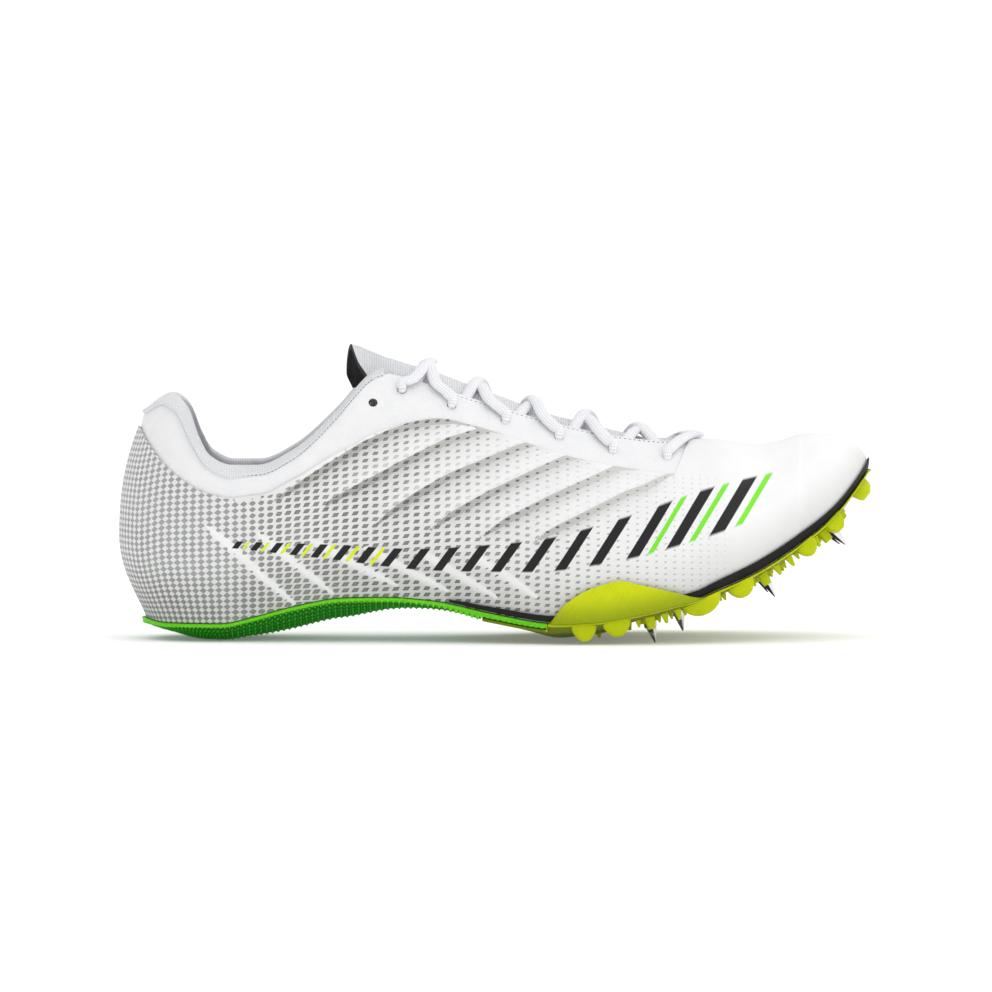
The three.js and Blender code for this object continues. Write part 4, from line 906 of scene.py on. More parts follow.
lining_look = Finish("lining_mesh", **{"Specular IOR Level": 0.2, "Sheen Weight": 0.2, "Roughness": 0.9})
along, up, _ = lining_look.attribute("fabric")
LINING_WEAVE = 1.1
weave = along.wave(LINING_WEAVE) * up.wave(LINING_WEAVE)
tone = lining_look.blend(weave.rise(0.0, 0.9), ink(232, 234, 235), ink(168, 171, 174))
lining_look.set(Base_Color=tone)
lining_look.bump(weave.rise(-0.5, 0.9) * -1 + lining_look.noise(2.0), 0.15)

eyelet_look = Finish("eyelet_edge", Roughness=0.6)
# The walls of the eyelet holes are painted a mottled dark grey
wall_mottle = eyelet_look.noise(0.6)
eyelet_look.set(Base_Color=eyelet_look.blend(wall_mottle, ink(84, 85, 88), ink(130, 131, 134)))

# %% Bootee
HIDDEN_ROWS = 6
PANEL_ROWS = 26
LINING_ROWS = 22
UNDER_SHELL = -0.95  # how far under the last's surface it runs beneath the mesh shell
PANEL_SHY = 0.06  # how much lower than the solid the panel lies, so that seams show on it


def bootee_lines(side, stations):
    """Rings from the margin under the shell, over panel and rim, and down the inside."""
    cut = section(side, stations)
    rim = rim_at(cut)
    edge = shell_edge_at(cut, rim)
    hidden_t = edge * np.linspace(0, 0.985, HIDDEN_ROWS + 1)[None, :]
    hidden = place(cut, *profile(cut, hidden_t, UNDER_SHELL))
    share = np.linspace(0, 1, PANEL_ROWS + 1)[None, :]
    out = panel_out(cut, share) - PANEL_SHY
    out = mix(out, UNDER_SHELL, ease(cut.x, SHELL_CLOSES, VAMP_X - 2))
    start = np.minimum(edge + 0.004, rim)
    panel = place(cut, *profile(cut, mix(start, rim, share), out))
    down = np.linspace(1, 0, LINING_ROWS + 1)[None, :]
    inside = place(cut, *profile(cut, rim * down, -WALL - pad_at(cut, down)))
    inward = cut.foot - MARGIN
    low = place(cut, inward, sole_edge(x_at(cut, inward)) + SHELL_THICKNESS + 0.2)
    high = place(cut, inward, sole_edge(x_at(cut, inward)) + WALL)
    ring = np.concatenate([low, hidden, panel, inside, high], axis=1)
    steps = np.linalg.norm(np.diff(ring, axis=1), axis=2)
    height = np.concatenate([np.zeros((len(ring), 1)), np.cumsum(steps, axis=1)], axis=1)
    fabric = np.stack(np.broadcast_arrays(ring[..., 0], height, 0.0), axis=-1)
    return ring, fabric, (cut.x[:, 0] >= VAMP_X - 1e-6)


stations = even_stations(1.4, fixed=(vamp_station,))
sides = zip(*[bootee_lines(side, stations) for side in SIDES])
rings, fabric, closed = [round_the_shoe(pair) for pair in sides]
rim_row = 1 + HIDDEN_ROWS + PANEL_ROWS + 1
faces = skin_faces(rings, closed, rim_row)
bootee = make_piece(
    "panel_and_lining", rings[:-1].reshape(-1, 3), faces, [panel_look, lining_look, eyelet_look], "mesh",
    ["upper"], face_finish=(faces[:, 0] % rings.shape[1]) > rim_row,
    carried={"fabric": fabric[:-1].reshape(-1, 3)},
)

# %% [markdown]
# ## Eyelets
# The holes' places come from the same walk over the section as in the CAD: so far from the
# throat's edge, at so much of the length. The punch is one mesh of 14 short rods that stand
# square to the panel.

# %% Eyelet places
def eyestay_point(side, x, from_throat, out=0.0):
    """A point on the eyestay, and the direction that leads away from it."""
    cut = section(side, station_at(x))
    t = reach(cut, lambda r, z: throat_half(x) + from_throat - r, WIDEST)
    point = place(cut, *profile(cut, t))[0, 0]
    up = place(cut, *profile(cut, t + 0.01))[0, 0] - point
    ahead = section(side, station_at(x + 1))
    along = place(ahead, *profile(ahead, t))[0, 0] - point
    away = np.cross(along, up)
    away *= (1 if away[2] > 0 else -1) / np.linalg.norm(away)
    return point + away * out, away


def upright_frame(direction):
    """Two directions square to a third, and that one, as rows."""
    direction = np.asarray(direction, float) / np.linalg.norm(direction)
    guide = np.array([1.0, 0, 0]) if abs(direction[0]) < 0.9 else np.array([0, 1.0, 0])
    one = np.cross(guide, direction)
    one /= np.linalg.norm(one)
    return one, np.cross(direction, one), direction


def turned(centre, direction, outline, sides=32, start=0.0):
    """A closed body of revolution from (radius, height) pairs, first and last on the axis."""
    one, two, axis = upright_frame(direction)
    angle = start + np.linspace(0, 2 * np.pi, sides, endpoint=False)[:, None]
    radius, height = np.array(outline, float).T
    spots = (
        np.asarray(centre) + np.cos(angle)[..., None] * radius[None, :, None] * one
        + np.sin(angle)[..., None] * radius[None, :, None] * two + height[None, :, None] * axis
    )
    return spots.reshape(-1, 3), ring_faces(sides, len(outline), loop_rings=True, loop_points=False)


# %% Punch
EYELET_RADIUS = 1.7
PUNCH = [(0, -5), (EYELET_RADIUS, -5), (EYELET_RADIUS, 4), (0, 4)]
rods = []
for side in SIDES:
    for at, inset in EYELETS:
        spot, away = eyestay_point(side, at * LENGTH, inset * BALL_WIDTH)
        rods.append(turned(spot, away, PUNCH, 24))
points, faces = joined(rods)
punch_mesh = bpy.data.meshes.new("punch")
punch_mesh.from_pydata((points * 0.001).tolist(), [], faces)
punch_mesh.materials.append(eyelet_look.material)
rod_skin = bmesh.new()
rod_skin.from_mesh(punch_mesh)
bmesh.ops.remove_doubles(rod_skin, verts=rod_skin.verts, dist=1e-6)
bmesh.ops.recalc_face_normals(rod_skin, faces=rod_skin.faces)
rod_skin.to_mesh(punch_mesh)
rod_skin.free()
punch = bpy.data.objects.new("punch", punch_mesh)
bpy.context.scene.collection.objects.link(punch)
cutting = bootee.modifiers.new("eyelets", "BOOLEAN")
cutting.operation = "DIFFERENCE"
cutting.object = punch
cutting.solver = "EXACT"
cutting.material_mode = "TRANSFER"
bpy.context.view_layer.update()
evaluated = bootee.evaluated_get(bpy.context.evaluated_depsgraph_get())
punched = bpy.data.meshes.new_from_object(evaluated)
print("points before and after the punch:", len(bootee.data.vertices), len(punched.vertices))
bootee.modifiers.clear()
bootee.data = punched
bpy.data.objects.remove(punch)

# %% [markdown]
# ## Knitted collar roll
# A padded tube of knit, sewn round the ankle opening. Its outline is a flattened ring that
# straddles the rim. The material draws small V-shaped stitches with waves along and round it.


# %% Knit material
def knit_finish(name, light, dark, pitch):
    """Columns of V-shaped stitches, `pitch` millimetres apart."""
    look = Finish(name, **{"Specular IOR Level": 0.2, "Sheen Weight": 0.25})
    along, around, _ = look.attribute("fabric")
    column = (around / pitch).offset()
    vee = (along + abs(column) * pitch * 1.1).wave(pitch * 0.8)
    yarn = vee.rise(-0.9, 0.6) * (1 - (abs(column) * 2).rise(0.75, 1.0) * 0.7)
    fuzz = look.noise(0.35)
    look.set(Base_Color=look.blend(yarn * (0.88 + 0.12 * fuzz), dark, light), Roughness=0.88)
    look.bump(yarn * 0.8 + fuzz * 0.2, 0.3)
    return look


knit_look = knit_finish("white_knit", ink(253, 253, 254), ink(224, 228, 233), 1.1)
thread_look = Finish("grey_thread", Roughness=0.7)
strand = thread_look.noise(0.5)
thread_look.set(Base_Color=thread_look.blend(strand, ink(74, 78, 86), ink(132, 136, 144)))

# %% Collar roll
BINDING_HEIGHT = 3.8
BINDING_SWELL = 0.5
BINDING_TUCK = 1.4  # how far the tube reaches down into the wall
BINDING_END = 0.215
ROLL_POINTS = 32


def roll_lines(side, stations):
    """Rings of the tube, and the crease where it meets the panel and the lining."""
    cut = section(side, stations)
    rim = rim_at(cut)
    one = np.array([[1.0]])
    outer = np.stack([v[:, 0] for v in profile(cut, rim, panel_out(cut, one))], axis=-1)
    inner = np.stack([v[:, 0] for v in profile(cut, rim, -WALL - pad_at(cut, one))], axis=-1)
    below = np.stack([v[:, 0] for v in profile(cut, rim - 0.03, -WALL / 2)], axis=-1)
    above = (outer + inner) / 2 - below
    above /= np.linalg.norm(above, axis=1, keepdims=True)
    across = outer - inner
    back = 1 - ease(cut.x, 2, 14)  # the roll is fuller behind the heel
    half = np.linalg.norm(across, axis=1, keepdims=True) / 2 + BINDING_SWELL + 0.5 * back
    across = across / np.linalg.norm(across, axis=1, keepdims=True)
    start = (outer + inner) / 2 + above * (GAP - 1.2 * back)
    angle = np.linspace(-0.42 * np.pi, 1.42 * np.pi, ROLL_POINTS)[None, :, None]
    wide, high = np.cos(angle), np.sin(angle)
    wide = 1.08 * np.sign(wide) * np.abs(wide) ** 0.75
    crown = np.abs(high) ** 0.85 * (BINDING_HEIGHT + 1.3 * back[:, :, None])
    high = np.where(high > 0, crown, high * BINDING_TUCK)
    spot = start[:, None] + across[:, None] * wide * half[:, None] + above[:, None] * high
    sunk = above * (GAP - 1.2 * back - 0.9)
    crease = np.stack([outer + sunk + across * 0.2, inner + sunk - across * 0.2], axis=1)
    return place(cut, spot[..., 0], spot[..., 1]), place(cut, crease[..., 0], crease[..., 1])


roll_end = float(station_at(BINDING_END * LENGTH))
stations = even_stations(0.9, end=roll_end)
outer, inner = [roll_lines(side, stations) for side in SIDES]
rings, creases = [round_the_shoe(pair) for pair in zip(outer, inner)]


def tip(ring, before):
    """A smaller ring a little beyond the last one, which rounds off the tube's end."""
    middle = ring.mean(axis=0)
    return mix(middle, ring, 0.45) + (middle - before.mean(axis=0)) * 0.9


def capped_faces(rings, ring_size):
    """Faces between the rings, and one over each end."""
    last = (rings - 1) * ring_size
    ends = [tuple(range(ring_size)), tuple(range(last, last + ring_size))]
    return [tuple(face) for face in ring_faces(rings, ring_size)] + ends


rings = np.concatenate([[tip(rings[0], rings[1])], rings, [tip(rings[-1], rings[-2])]])
lengths, around = distance_along(rings.mean(axis=1)), distance_along(rings[len(rings) // 3])
fabric = np.stack(np.broadcast_arrays(lengths[:, None], around[None, :], 0.0), axis=-1)
faces = capped_faces(len(rings), ROLL_POINTS)
collar_roll = make_piece(
    "collar_roll", rings.reshape(-1, 3), faces, [knit_look], "knit", ["collar_binding"],
    carried={"fabric": fabric.reshape(-1, 3)}, sharp=70,
)


# %% [markdown]
# ## Stitches
# A seam shows as a run of short threads that dip in and out. Each stitch is a small spindle
# laid along a line of points, and all the stitches of a seam are one mesh.

# %% Stitch runs
def resampled(path, step):
    """Points at even steps along a path."""
    path = np.asarray(path, float)
    along = distance_along(path)
    count = max(2, round(along[-1] / step) + 1)
    marks = np.linspace(0, along[-1], count)
    return np.stack([np.interp(marks, along, path[:, i]) for i in range(3)], axis=-1)


def stitch_run(path, stitch, space, radius):
    """Spindles of one length along a path, with a space after each."""
    marks = resampled(path, stitch + space)
    parts = []
    for a, b in zip(marks[:-1], marks[1:]):
        b = mix(a, b, stitch / (stitch + space))
        length = float(np.linalg.norm(b - a))
        shares = [(0, 0), (0.75, 0.1), (1, 0.5), (0.75, 0.9), (0, 1)]
        outline = [(radius * wide, length * far) for wide, far in shares]
        parts.append(turned(a, b - a, outline, 6))
    return joined(parts)


points, faces = joined([stitch_run(creases[:, wall], 1.1, 0.45, 0.17) for wall in (0, 1)])
make_piece("collar_seam", points, faces, [thread_look], "knit", weld=0.001)

eyestay_seams = []
for side in SIDES:
    path = []
    for x in np.arange(84, 172, 2.0):
        step_back = float(panel_out(section(side, station_at(x)), np.array([[1.0]]))[0, 0])
        path.append(eyestay_point(side, x, 1.3, step_back + 0.05)[0])
    eyestay_seams.append(stitch_run(path, 1.0, 0.8, 0.13))
points, faces = joined(eyestay_seams)
make_piece("eyestay_seam", points, faces, [thread_look], "mesh", weld=0.001)

# %% [markdown]
# ## Tongue
# A thin padded sheet that lies under the laces and stands up at its free end. The end is cut
# aslant and curls, so from the side the black lining of its far half shows behind the white
# edge of the near half. It is a closed skin: the top with one finish, the underside with
# another.

# %% Tongue
TONGUE_THICKNESS = 2.2
TONGUE_ROOM = 1.7
TONGUE_FREE = 0.225
TONGUE_END = 0.642
TONGUE_TABLE = [  # at, half breadth, lift of the middle, raise of the whole
    (0.172, 0.145, 0.04, 0.07), (0.186, 0.125, 0.05, 0.045), (0.2, 0.12, 0.06, 0.015),
    (0.225, 0.16, 0.045, 0), (0.25, 0.23, 0.04, 0), (0.3, 0.26, 0.035, 0), (0.5, 0.24, 0.02, 0),
    (0.6, 0.2, 0.008, -0.008), (TONGUE_END, 0.12, 0, -0.004),
]
tongue_half, tongue_lift, tongue_raise = [line(TONGUE_TABLE, column) for column in (1, 2, 3)]
TONGUE_ACROSS = 25
TONGUE_ALONG = 150
FREE_EDGE = smooth((-1, -0.6, -0.2, 0, 0.3, 0.7, 1), (54.5, 51, 48.8, 48.2, 47, 46.3, 48.5))


def tongue_layer(out):
    """A grid of points over the tongue, so far off the last's surface."""
    share = np.linspace(0, 1, TONGUE_ALONG)[:, None] ** 1.2
    spots = np.zeros((TONGUE_ALONG, 2 * TONGUE_ACROSS + 1, 3))
    for column in range(2 * TONGUE_ACROSS + 1):
        cross = (column - TONGUE_ACROSS) / TONGUE_ACROSS
        side = OUTER_SIDE if cross < 0 else INNER_SIDE
        x = mix(float(FREE_EDGE(cross)), TONGUE_END * LENGTH, share)[:, 0]
        held = np.maximum(x, TONGUE_FREE * LENGTH)
        cut = section(side, station_at(held))
        edge = reach(cut, lambda r, z: (BALL_WIDTH * tongue_half(x))[:, None] - r, WIDEST)
        t = mix(edge, 1.0, 1 - abs(cross))
        r, z = profile(cut, t, out)
        risen = ease((t - edge) / (1 - edge), 0.3, 1)
        z = z + INSTEP_HEIGHT * (tongue_lift(x)[:, None] * risen + tongue_raise(x)[:, None])
        curl = 1 - ease(x, 47, 64)[:, None]
        z = z - curl * (5.5 if cross > 0 else 2.0) * cross ** 2
        point = place(cut, r * (cross != 0), z)[:, 0]
        point[:, 0] += x - held
        spots[:, column] = point
    return spots


over = tongue_layer(-WALL - TONGUE_ROOM)
under = tongue_layer(-WALL - TONGUE_ROOM - TONGUE_THICKNESS)
side_edge = lambda share, column: mix(over[:, column], under[:, column], share)[:, None]
inner_edge = [side_edge(0.3, -1), side_edge(0.7, -1)]
outer_edge = [side_edge(0.7, 0), side_edge(0.3, 0)]
rings = np.concatenate([over, *inner_edge, under[:, ::-1], *outer_edge], axis=1)
ring_size = rings.shape[1]
faces = [tuple(face) for face in ring_faces(TONGUE_ALONG, ring_size)]
last = (TONGUE_ALONG - 1) * ring_size
breadth = 2 * TONGUE_ACROSS + 1
across_rows = np.arange(breadth - 1)
mirror = ring_size - 3 - across_rows
for base in (0, last):
    faces += [(base + i, base + i + 1, base + m - 1, base + m) for i, m in zip(across_rows, mirror)]
    faces += [(base + breadth - 1, base + breadth, base + breadth + 1, base + breadth + 2)]
    faces += [(base + ring_size - 3, base + ring_size - 2, base + ring_size - 1, base)]
faces = np.array(faces)
under_face = (faces[:, 0] % ring_size) >= breadth - 1
under_face[(TONGUE_ALONG - 1) * ring_size:] = True
tongue_lining_look = knit_finish("black_lining", ink(30, 30, 32), ink(12, 12, 13), 1.0)
MIDDLE_RING = 60
fabric = np.stack(np.broadcast_arrays(rings[..., 0], distance_along(rings[MIDDLE_RING]), 0.0), axis=-1)
tongue = make_piece(
    "tongue_sheet", rings.reshape(-1, 3), faces, [knit_look, tongue_lining_look], "tongue_sheet",
    ["tongue"], face_finish=under_face, carried={"fabric": fabric.reshape(-1, 3)}, sharp=60,
)

# %% [markdown]
# ## Insole
# The sheet that the foot stands on. It only shows through the collar, but it closes the view
# into the shoe. It has a soft raised rim and a covering of brushed cloth.

# %% Insole
INSOLE_THICKNESS = 3.0
insole_look = Finish("insole_cloth", **{"Specular IOR Level": 0.2, "Sheen Weight": 0.3, "Roughness": 0.92})
nap = insole_look.noise(0.8, 3.0)
stripe = insole_look.attribute("fabric")[0].wave(2.2)
insole_tone = insole_look.blend(nap, ink(214, 216, 214), ink(240, 241, 240))
insole_tone = insole_look.blend(stripe.rise(0.2, 0.9) * 0.3, insole_tone, ink(190, 194, 192))
insole_look.set(Base_Color=insole_tone)
insole_look.bump(nap * 0.6 + stripe.rise(-1, 1) * 0.4, 0.2)


def insole_lines(side, stations):
    """Rows of one half, from the middle of the top out to the edge and back underneath."""
    cut = section(side, stations)
    low = WALL + GAP
    edge = cut.foot - WALL - 3 * GAP
    shares = np.linspace(0, 1, 14)[None, :]
    top_r = edge * shares
    rim = 0.5 * ease(shares, 0.75, 0.97)
    round_off = 0.9 * ease(shares, 0.93, 1.0)
    top = place(cut, top_r, sole_edge(x_at(cut, top_r)) + low + INSOLE_THICKNESS - 0.3 + rim - round_off)
    side_point = place(cut, edge + GAP, sole_edge(x_at(cut, edge + GAP)) + low + INSOLE_THICKNESS / 2)
    under_r = edge * np.linspace(1, 0, 5)[None, :]
    under = place(cut, under_r, sole_edge(x_at(cut, under_r)) + low)
    return np.concatenate([top, side_point, under], axis=1)


stations = even_stations(2.5)
rows = [insole_lines(side, stations) for side in SIDES]
points = np.concatenate([r.reshape(-1, 3) for r in rows])
ring_size = rows[0].shape[1]
faces = ring_faces(len(stations), ring_size, loop_points=False)
faces = np.concatenate([faces, faces + len(stations) * ring_size])
insole = make_piece(
    "insole_sheet", points, faces, [insole_look], "insole_foam", ["insole"],
    carried={"fabric": points}, weld=0.02, sharp=80,
)

# %% [markdown]
# ## Rand
# A band of black rubber seals the joint between upper and plate from the waist to the toe. It
# is a thin closed ring at each station, with softened edges.

# %% Rand
rand_look = Finish("black_rubber", **{"Specular IOR Level": 0.25})
speckle = rand_look.noise(0.7, 3.0)
scuff = rand_look.noise(14.0, 4.0)
rand_tone = rand_look.blend(speckle * 0.4 + scuff.rise(0.55, 0.8) * 0.3, ink(10, 10, 11), ink(34, 34, 36))
rand_look.set(Base_Color=rand_tone, Roughness=0.5 + 0.2 * speckle)
rand_look.bump(speckle, 0.05)

RAND_START = 0.303
RAND_FOOT = 0.25
RAND_ROOM = 0.4
RAND_THICKNESS = 0.6
rand_high = line([(0.3, 1.2), (0.33, 1.8), (0.4, 2.4), (0.6, 2.8), (0.7, 3.8), (0.86, 3.8)], 1)


def rand_lines(side, stations):
    """Rings of the band: the face next to the upper, then round the outside."""
    cut = section(side, stations)
    base = sole_edge(x_at(cut, cut.foot))
    high = rand_high(x_at(cut, cut.foot))

    def row(out, shares):
        start = reach(cut, lambda r, z: z - base - RAND_FOOT - out)
        end = reach(cut, lambda r, z: z - base - high - out)
        return place(cut, *profile(cut, mix(start, end, np.array([shares])), out))

    near = row(RAND_ROOM, (0, 0.5, 1))
    far = row(RAND_ROOM + RAND_THICKNESS, (0.92, 0.75, 0.5, 0.25, 0.08))
    soft = row(RAND_ROOM + 0.6 * RAND_THICKNESS, (1.0, 0.0))
    return np.concatenate([near, soft[:, :1], far, soft[:, 1:]], axis=1)


stations = even_stations(1.2, start=float(station_at(RAND_START * LENGTH)))
outer, inner = [rand_lines(side, stations) for side in SIDES]
rings = np.concatenate([outer, inner[-2::-1]])
faces = capped_faces(*rings.shape[:2])
make_piece("rand_band", rings.reshape(-1, 3), faces, [rand_look], "rand_rubber", ["rand"], sharp=60)

# %% [markdown]
# ## Heel sole
# The green wedge has a bright lip along its top edge and is covered with small teeth below it,
# which also make its lower outline jagged. The teeth are real relief: a lattice of pyramids
# whose tips lie on the CAD's surface, so the shoe still stands on the floor. Their tips carry a
# painted highlight and their valleys painted shade.

# %% Heel sole material
sole_look = Finish("green_rubber", **{"Specular IOR Level": 0.2})
lip, tooth, _ = sole_look.attribute("tread")
cloud = sole_look.noise(5.0, 3.0)
fine = sole_look.noise(0.5, 2.0)
# Painted shade in the valleys between the teeth and a painted highlight on their tips
body = sole_look.blend(tooth.rise(0.05, 0.75), ink(0, 70, 0), ink(32, 164, 6))
body = sole_look.blend(tooth.rise(0.7, 1.0), body, ink(92, 204, 48))
body = sole_look.blend(cloud * 0.25, body, ink(6, 96, 2))
# Painted highlights: lighter patches on the lip
lip_tone = sole_look.blend(fine.rise(0.4, 0.75), ink(84, 196, 4), ink(132, 218, 36))
body = sole_look.blend(lip.rise(0.3, 0.7), body, lip_tone)
sole_look.set(Base_Color=body, Roughness=0.45 + 0.15 * fine, Coat_Weight=0.05)
sole_look.bump(fine, 0.06)

# %% Heel sole
SOLE_LEDGE = 1.0
LAP_THICKNESS = 2.3
LAP_START = 97.0
LAP_END = 121.0
UNDER_POWER = 2.2
TEETH_APART = 4  # stations or rows from one tooth to the next
TOOTH_RELIEF = 1.0
SOLE_ROWS = 41
LIP = [(0.15, 1.55), (0.45, 1.2), (0.45, 0.7), (0.1, 0.35)]  # out from the edge, down from the joint


def underside(cut, r, edge):
    """Height of the sole's underside at a distance r from the middle line."""
    x = x_at(cut, r)
    flat = depth_flat(x)
    share = np.clip((r / edge - flat) / (1 - flat), 0, 1) ** UNDER_POWER
    return np.maximum(0, sole_edge(x) - HEEL_STACK * mix(depth_middle(x), depth_edge(x), share))


def pyramids(stations, rows):
    """1 at the tip of each tooth of a staggered lattice and 0 in the valleys."""
    i, j = np.arange(stations)[:, None], np.arange(rows)[None, :]
    one, two = (i + j) / TEETH_APART, (i - j) / TEETH_APART
    return 1 - 2 * np.maximum(np.abs(one - np.round(one)), np.abs(two - np.round(two)))


def sole_lines(side, stations):
    """Rows of one half: the toothed underside, the lip and the top, with their finish."""
    cut = section(side, stations)
    edge = cut.foot + SOLE_LEDGE
    fine_r = edge * np.linspace(0, 1, 300)[None, :]
    steps = np.hypot(np.diff(fine_r), np.diff(underside(cut, fine_r, edge)))
    laid = np.concatenate([np.zeros((len(fine_r), 1)), np.cumsum(steps, axis=1)], axis=1)
    shares = np.linspace(0, 1, SOLE_ROWS)
    r = np.stack([np.interp(shares * row[-1], row, spots) for row, spots in zip(laid, fine_r)])
    z = underside(cut, r, edge)
    lapped = cut.x > LAP_START - GAP
    z = np.where(lapped, np.maximum(z, sole_edge(x_at(cut, r)) - LAP_THICKNESS), z)
    lattice = pyramids(len(stations), SOLE_ROWS)
    run, climb = np.gradient(r, axis=1), np.gradient(z, axis=1)
    slope = np.hypot(run, climb)
    shorter = 0.25 * (1 - np.cos(2 * np.pi * np.arange(SOLE_ROWS) / TEETH_APART))[None, :]
    below_lip = np.clip((sole_edge(x_at(cut, r)) - 1.2 - z) / 0.8, 0, 1)
    sunk = (TOOTH_RELIEF * (1 - lattice) + shorter) * below_lip * ~lapped
    low = place(cut, r - sunk * climb / slope, z + sunk * run / slope)
    drop = lambda rr, d: place(cut, rr, sole_edge(x_at(cut, rr)) - d)
    lip = [drop(edge + beyond, down) for beyond, down in LIP]
    top = [drop(rr, GAP) for rr in (cut.foot, cut.foot - MARGIN, cut.foot * 0)]
    ring = np.concatenate([low, *lip, *top], axis=1)
    bright = np.zeros(ring.shape[:2])
    bright[:, SOLE_ROWS:] = 1
    bright[:, SOLE_ROWS - 3:SOLE_ROWS] = lattice[:, -3:]
    teeth = np.concatenate([lattice * ~lapped, np.ones((len(ring), ring.shape[1] - SOLE_ROWS))], axis=1)
    return ring, np.stack([bright, teeth, 0 * bright], axis=-1)


def both_sides(lines, end):
    """Points and faces of the two sides' rows, with the cut face at one end closed."""
    points = np.concatenate([rows.reshape(-1, 3) for rows in lines])
    count, size = lines[0].shape[:2]
    faces = [tuple(face) for face in ring_faces(count, size, loop_points=False)]
    faces += [tuple(i + count * size for i in face) for face in faces]
    base = (count - 1) * size if end == "front" else 0
    loop = [base + i for i in range(size)] + [count * size + base + i for i in range(size - 2, 0, -1)]
    faces.append(tuple(loop))
    return points, faces


step = float(station_at(LAP_START - GAP))
stations = even_stations(0.54, end=float(station_at(LAP_END)), fixed=(step - 0.004, step + 0.004))
sides = [sole_lines(side, stations) for side in SIDES]
points, faces = both_sides([side[0] for side in sides], "front")
tread = np.concatenate([side[1].reshape(-1, 3) for side in sides])
make_piece(
    "heel_sole_moulding", points, faces, [sole_look], "sole_rubber", ["heel_sole"],
    carried={"tread": tread}, sharp=38,
)

# %% [markdown]
# ## Spike plate
# The lime plate is moulded in one piece with its wings, cleats, teeth and spike seats. Here it
# is built as four meshes that sink into each other: the sheet with its shallow ribs, the two
# wings, the lugs and the seats. They share one semi-gloss plastic.

# %% Plate material
plate_look = Finish("lime_plastic", **{
    "Specular IOR Level": 0.15, "Coat Roughness": 0.2, "Subsurface Weight": 0.08, "Subsurface Scale": 0.003,
})
plate_x, plate_v, part_of_plate = plate_look.attribute("plate")
wing_share = part_of_plate.rise(0.5, 1.0)
underside_shade = (0 - part_of_plate).rise(0.2, 1.0)
hatch = (plate_x - 0.55 * plate_v).wave(2.1)
cloud = plate_look.noise(8.0, 3.0)
fine = plate_look.noise(0.6, 2.0)
lime = plate_look.blend(cloud.rise(0.3, 0.8) * 0.4, ink(204, 214, 0), ink(182, 196, 0))
lime = plate_look.blend(hatch.rise(0.1, 0.9) * wing_share * 0.3, lime, ink(206, 216, 30))
# Painted shade: darker towards the wings' lower edge, on the lugs, seats and sheet, and darkest on the
# underside
lime = plate_look.blend((1 - plate_v.rise(-1.0, 11.0)) * wing_share * 0.85, lime, ink(132, 148, 0))
lime = plate_look.blend((1 - wing_share) * (0.15 + 0.5 * cloud), lime, ink(146, 162, 0))
lime = plate_look.blend(underside_shade, lime, ink(108, 122, 6))
plate_look.set(Base_Color=lime, Roughness=0.34 + 0.14 * fine, Coat_Weight=0.06 * wing_share)
plate_look.bump(hatch.rise(-1.0, 1.0) * wing_share + 0.15 * fine, 0.09)

# %% Plate sheet
PLATE_EDGE = 2.4
PLATE_ROWS = 40
RIB_PITCH = 9.0
CHAMFER = 5.0  # how far in from its edge the plate's underside starts to climb
BELLY_DEPTH = 2.6  # the plate sags a little ahead of the waist


def plate_lines(side, stations):
    """Rows of one half: the ribbed underside, the edge and the top."""
    cut = section(side, stations)
    lapped = cut.x < LAP_END + GAP / 2
    edge = cut.foot + np.where(lapped, SOLE_LEDGE, PLATE_EDGE)
    r = edge * np.linspace(0, 0.985, PLATE_ROWS)[None, :]
    z = underside(cut, r, edge)
    rising = np.clip((r - edge + CHAMFER) / CHAMFER, 0, 1) ** 1.6 * ~lapped
    z = mix(z, sole_edge(x_at(cut, r)) - 1.1, rising)
    sag = ease(x_at(cut, r), 110, 128) * (1 - ease(x_at(cut, r), 142, 156))
    z = np.maximum(z - BELLY_DEPTH * sag * (1 - (r / edge) ** 2), 0.2)
    flat = place(cut, r, z)
    one = (flat[..., 0] + 1.1 * flat[..., 1]) / RIB_PITCH
    two = (flat[..., 0] - 1.1 * flat[..., 1]) / RIB_PITCH
    near = np.minimum(np.abs(one - np.round(one)), np.abs(two - np.round(two)))
    hollow = ease(near, 0.08, 0.16) * ease(0.93 - r / edge, 0, 0.08)
    low = place(cut, r, z + 0.6 * hollow)
    drop = lambda rr, d: place(cut, rr, sole_edge(x_at(cut, rr)) - d)
    edge_low = z[:, -1:]
    base_drop = np.where(lapped, LAP_THICKNESS + GAP, GAP)
    side_low = place(cut, edge, mix(edge_low, sole_edge(x_at(cut, edge)) - base_drop, 0.3))
    side_high = place(cut, edge, mix(edge_low, sole_edge(x_at(cut, edge)) - base_drop, 0.8))
    top = [drop(rr, base_drop) for rr in (edge - 0.3, cut.foot - 0.2, cut.foot - MARGIN, cut.foot * 0)]
    return np.concatenate([low, side_low, side_high, *top], axis=1)


def make_plate_piece(name, points, faces, height, part, **options):
    """A piece of the plate. Its material reads which part it is: 1 wing, 0 lug, -1 underside."""
    amounts = np.stack([points[:, 0], height, np.broadcast_to(part, height.shape)], axis=-1)
    make_piece(
        name, points, faces, [plate_look], "plate_plastic", ["spike_plate"],
        carried={"plate": amounts}, **options,
    )


start, lap = float(station_at(LAP_START)), float(station_at(LAP_END))
stations = even_stations(1.0, start=start, fixed=(lap, float(station_at(LAP_END + GAP))))
sides = [plate_lines(side, stations) for side in SIDES]
points, faces = both_sides(sides, "rear")
rows = np.arange(len(points)) % sides[0].shape[1]
under_or_lapped = (rows < PLATE_ROWS) | (points[:, 0] < LAP_END)
make_plate_piece("plate_sheet", points, faces, points[:, 1], np.where(under_or_lapped, -1.0, 0.0), sharp=35)

# %% [markdown]
# ## Wings
# The plate turns up the side of the shoe in a pointed leaf. It follows the upper at a small
# distance, thins towards its upper edge and carries fine slanted lines.

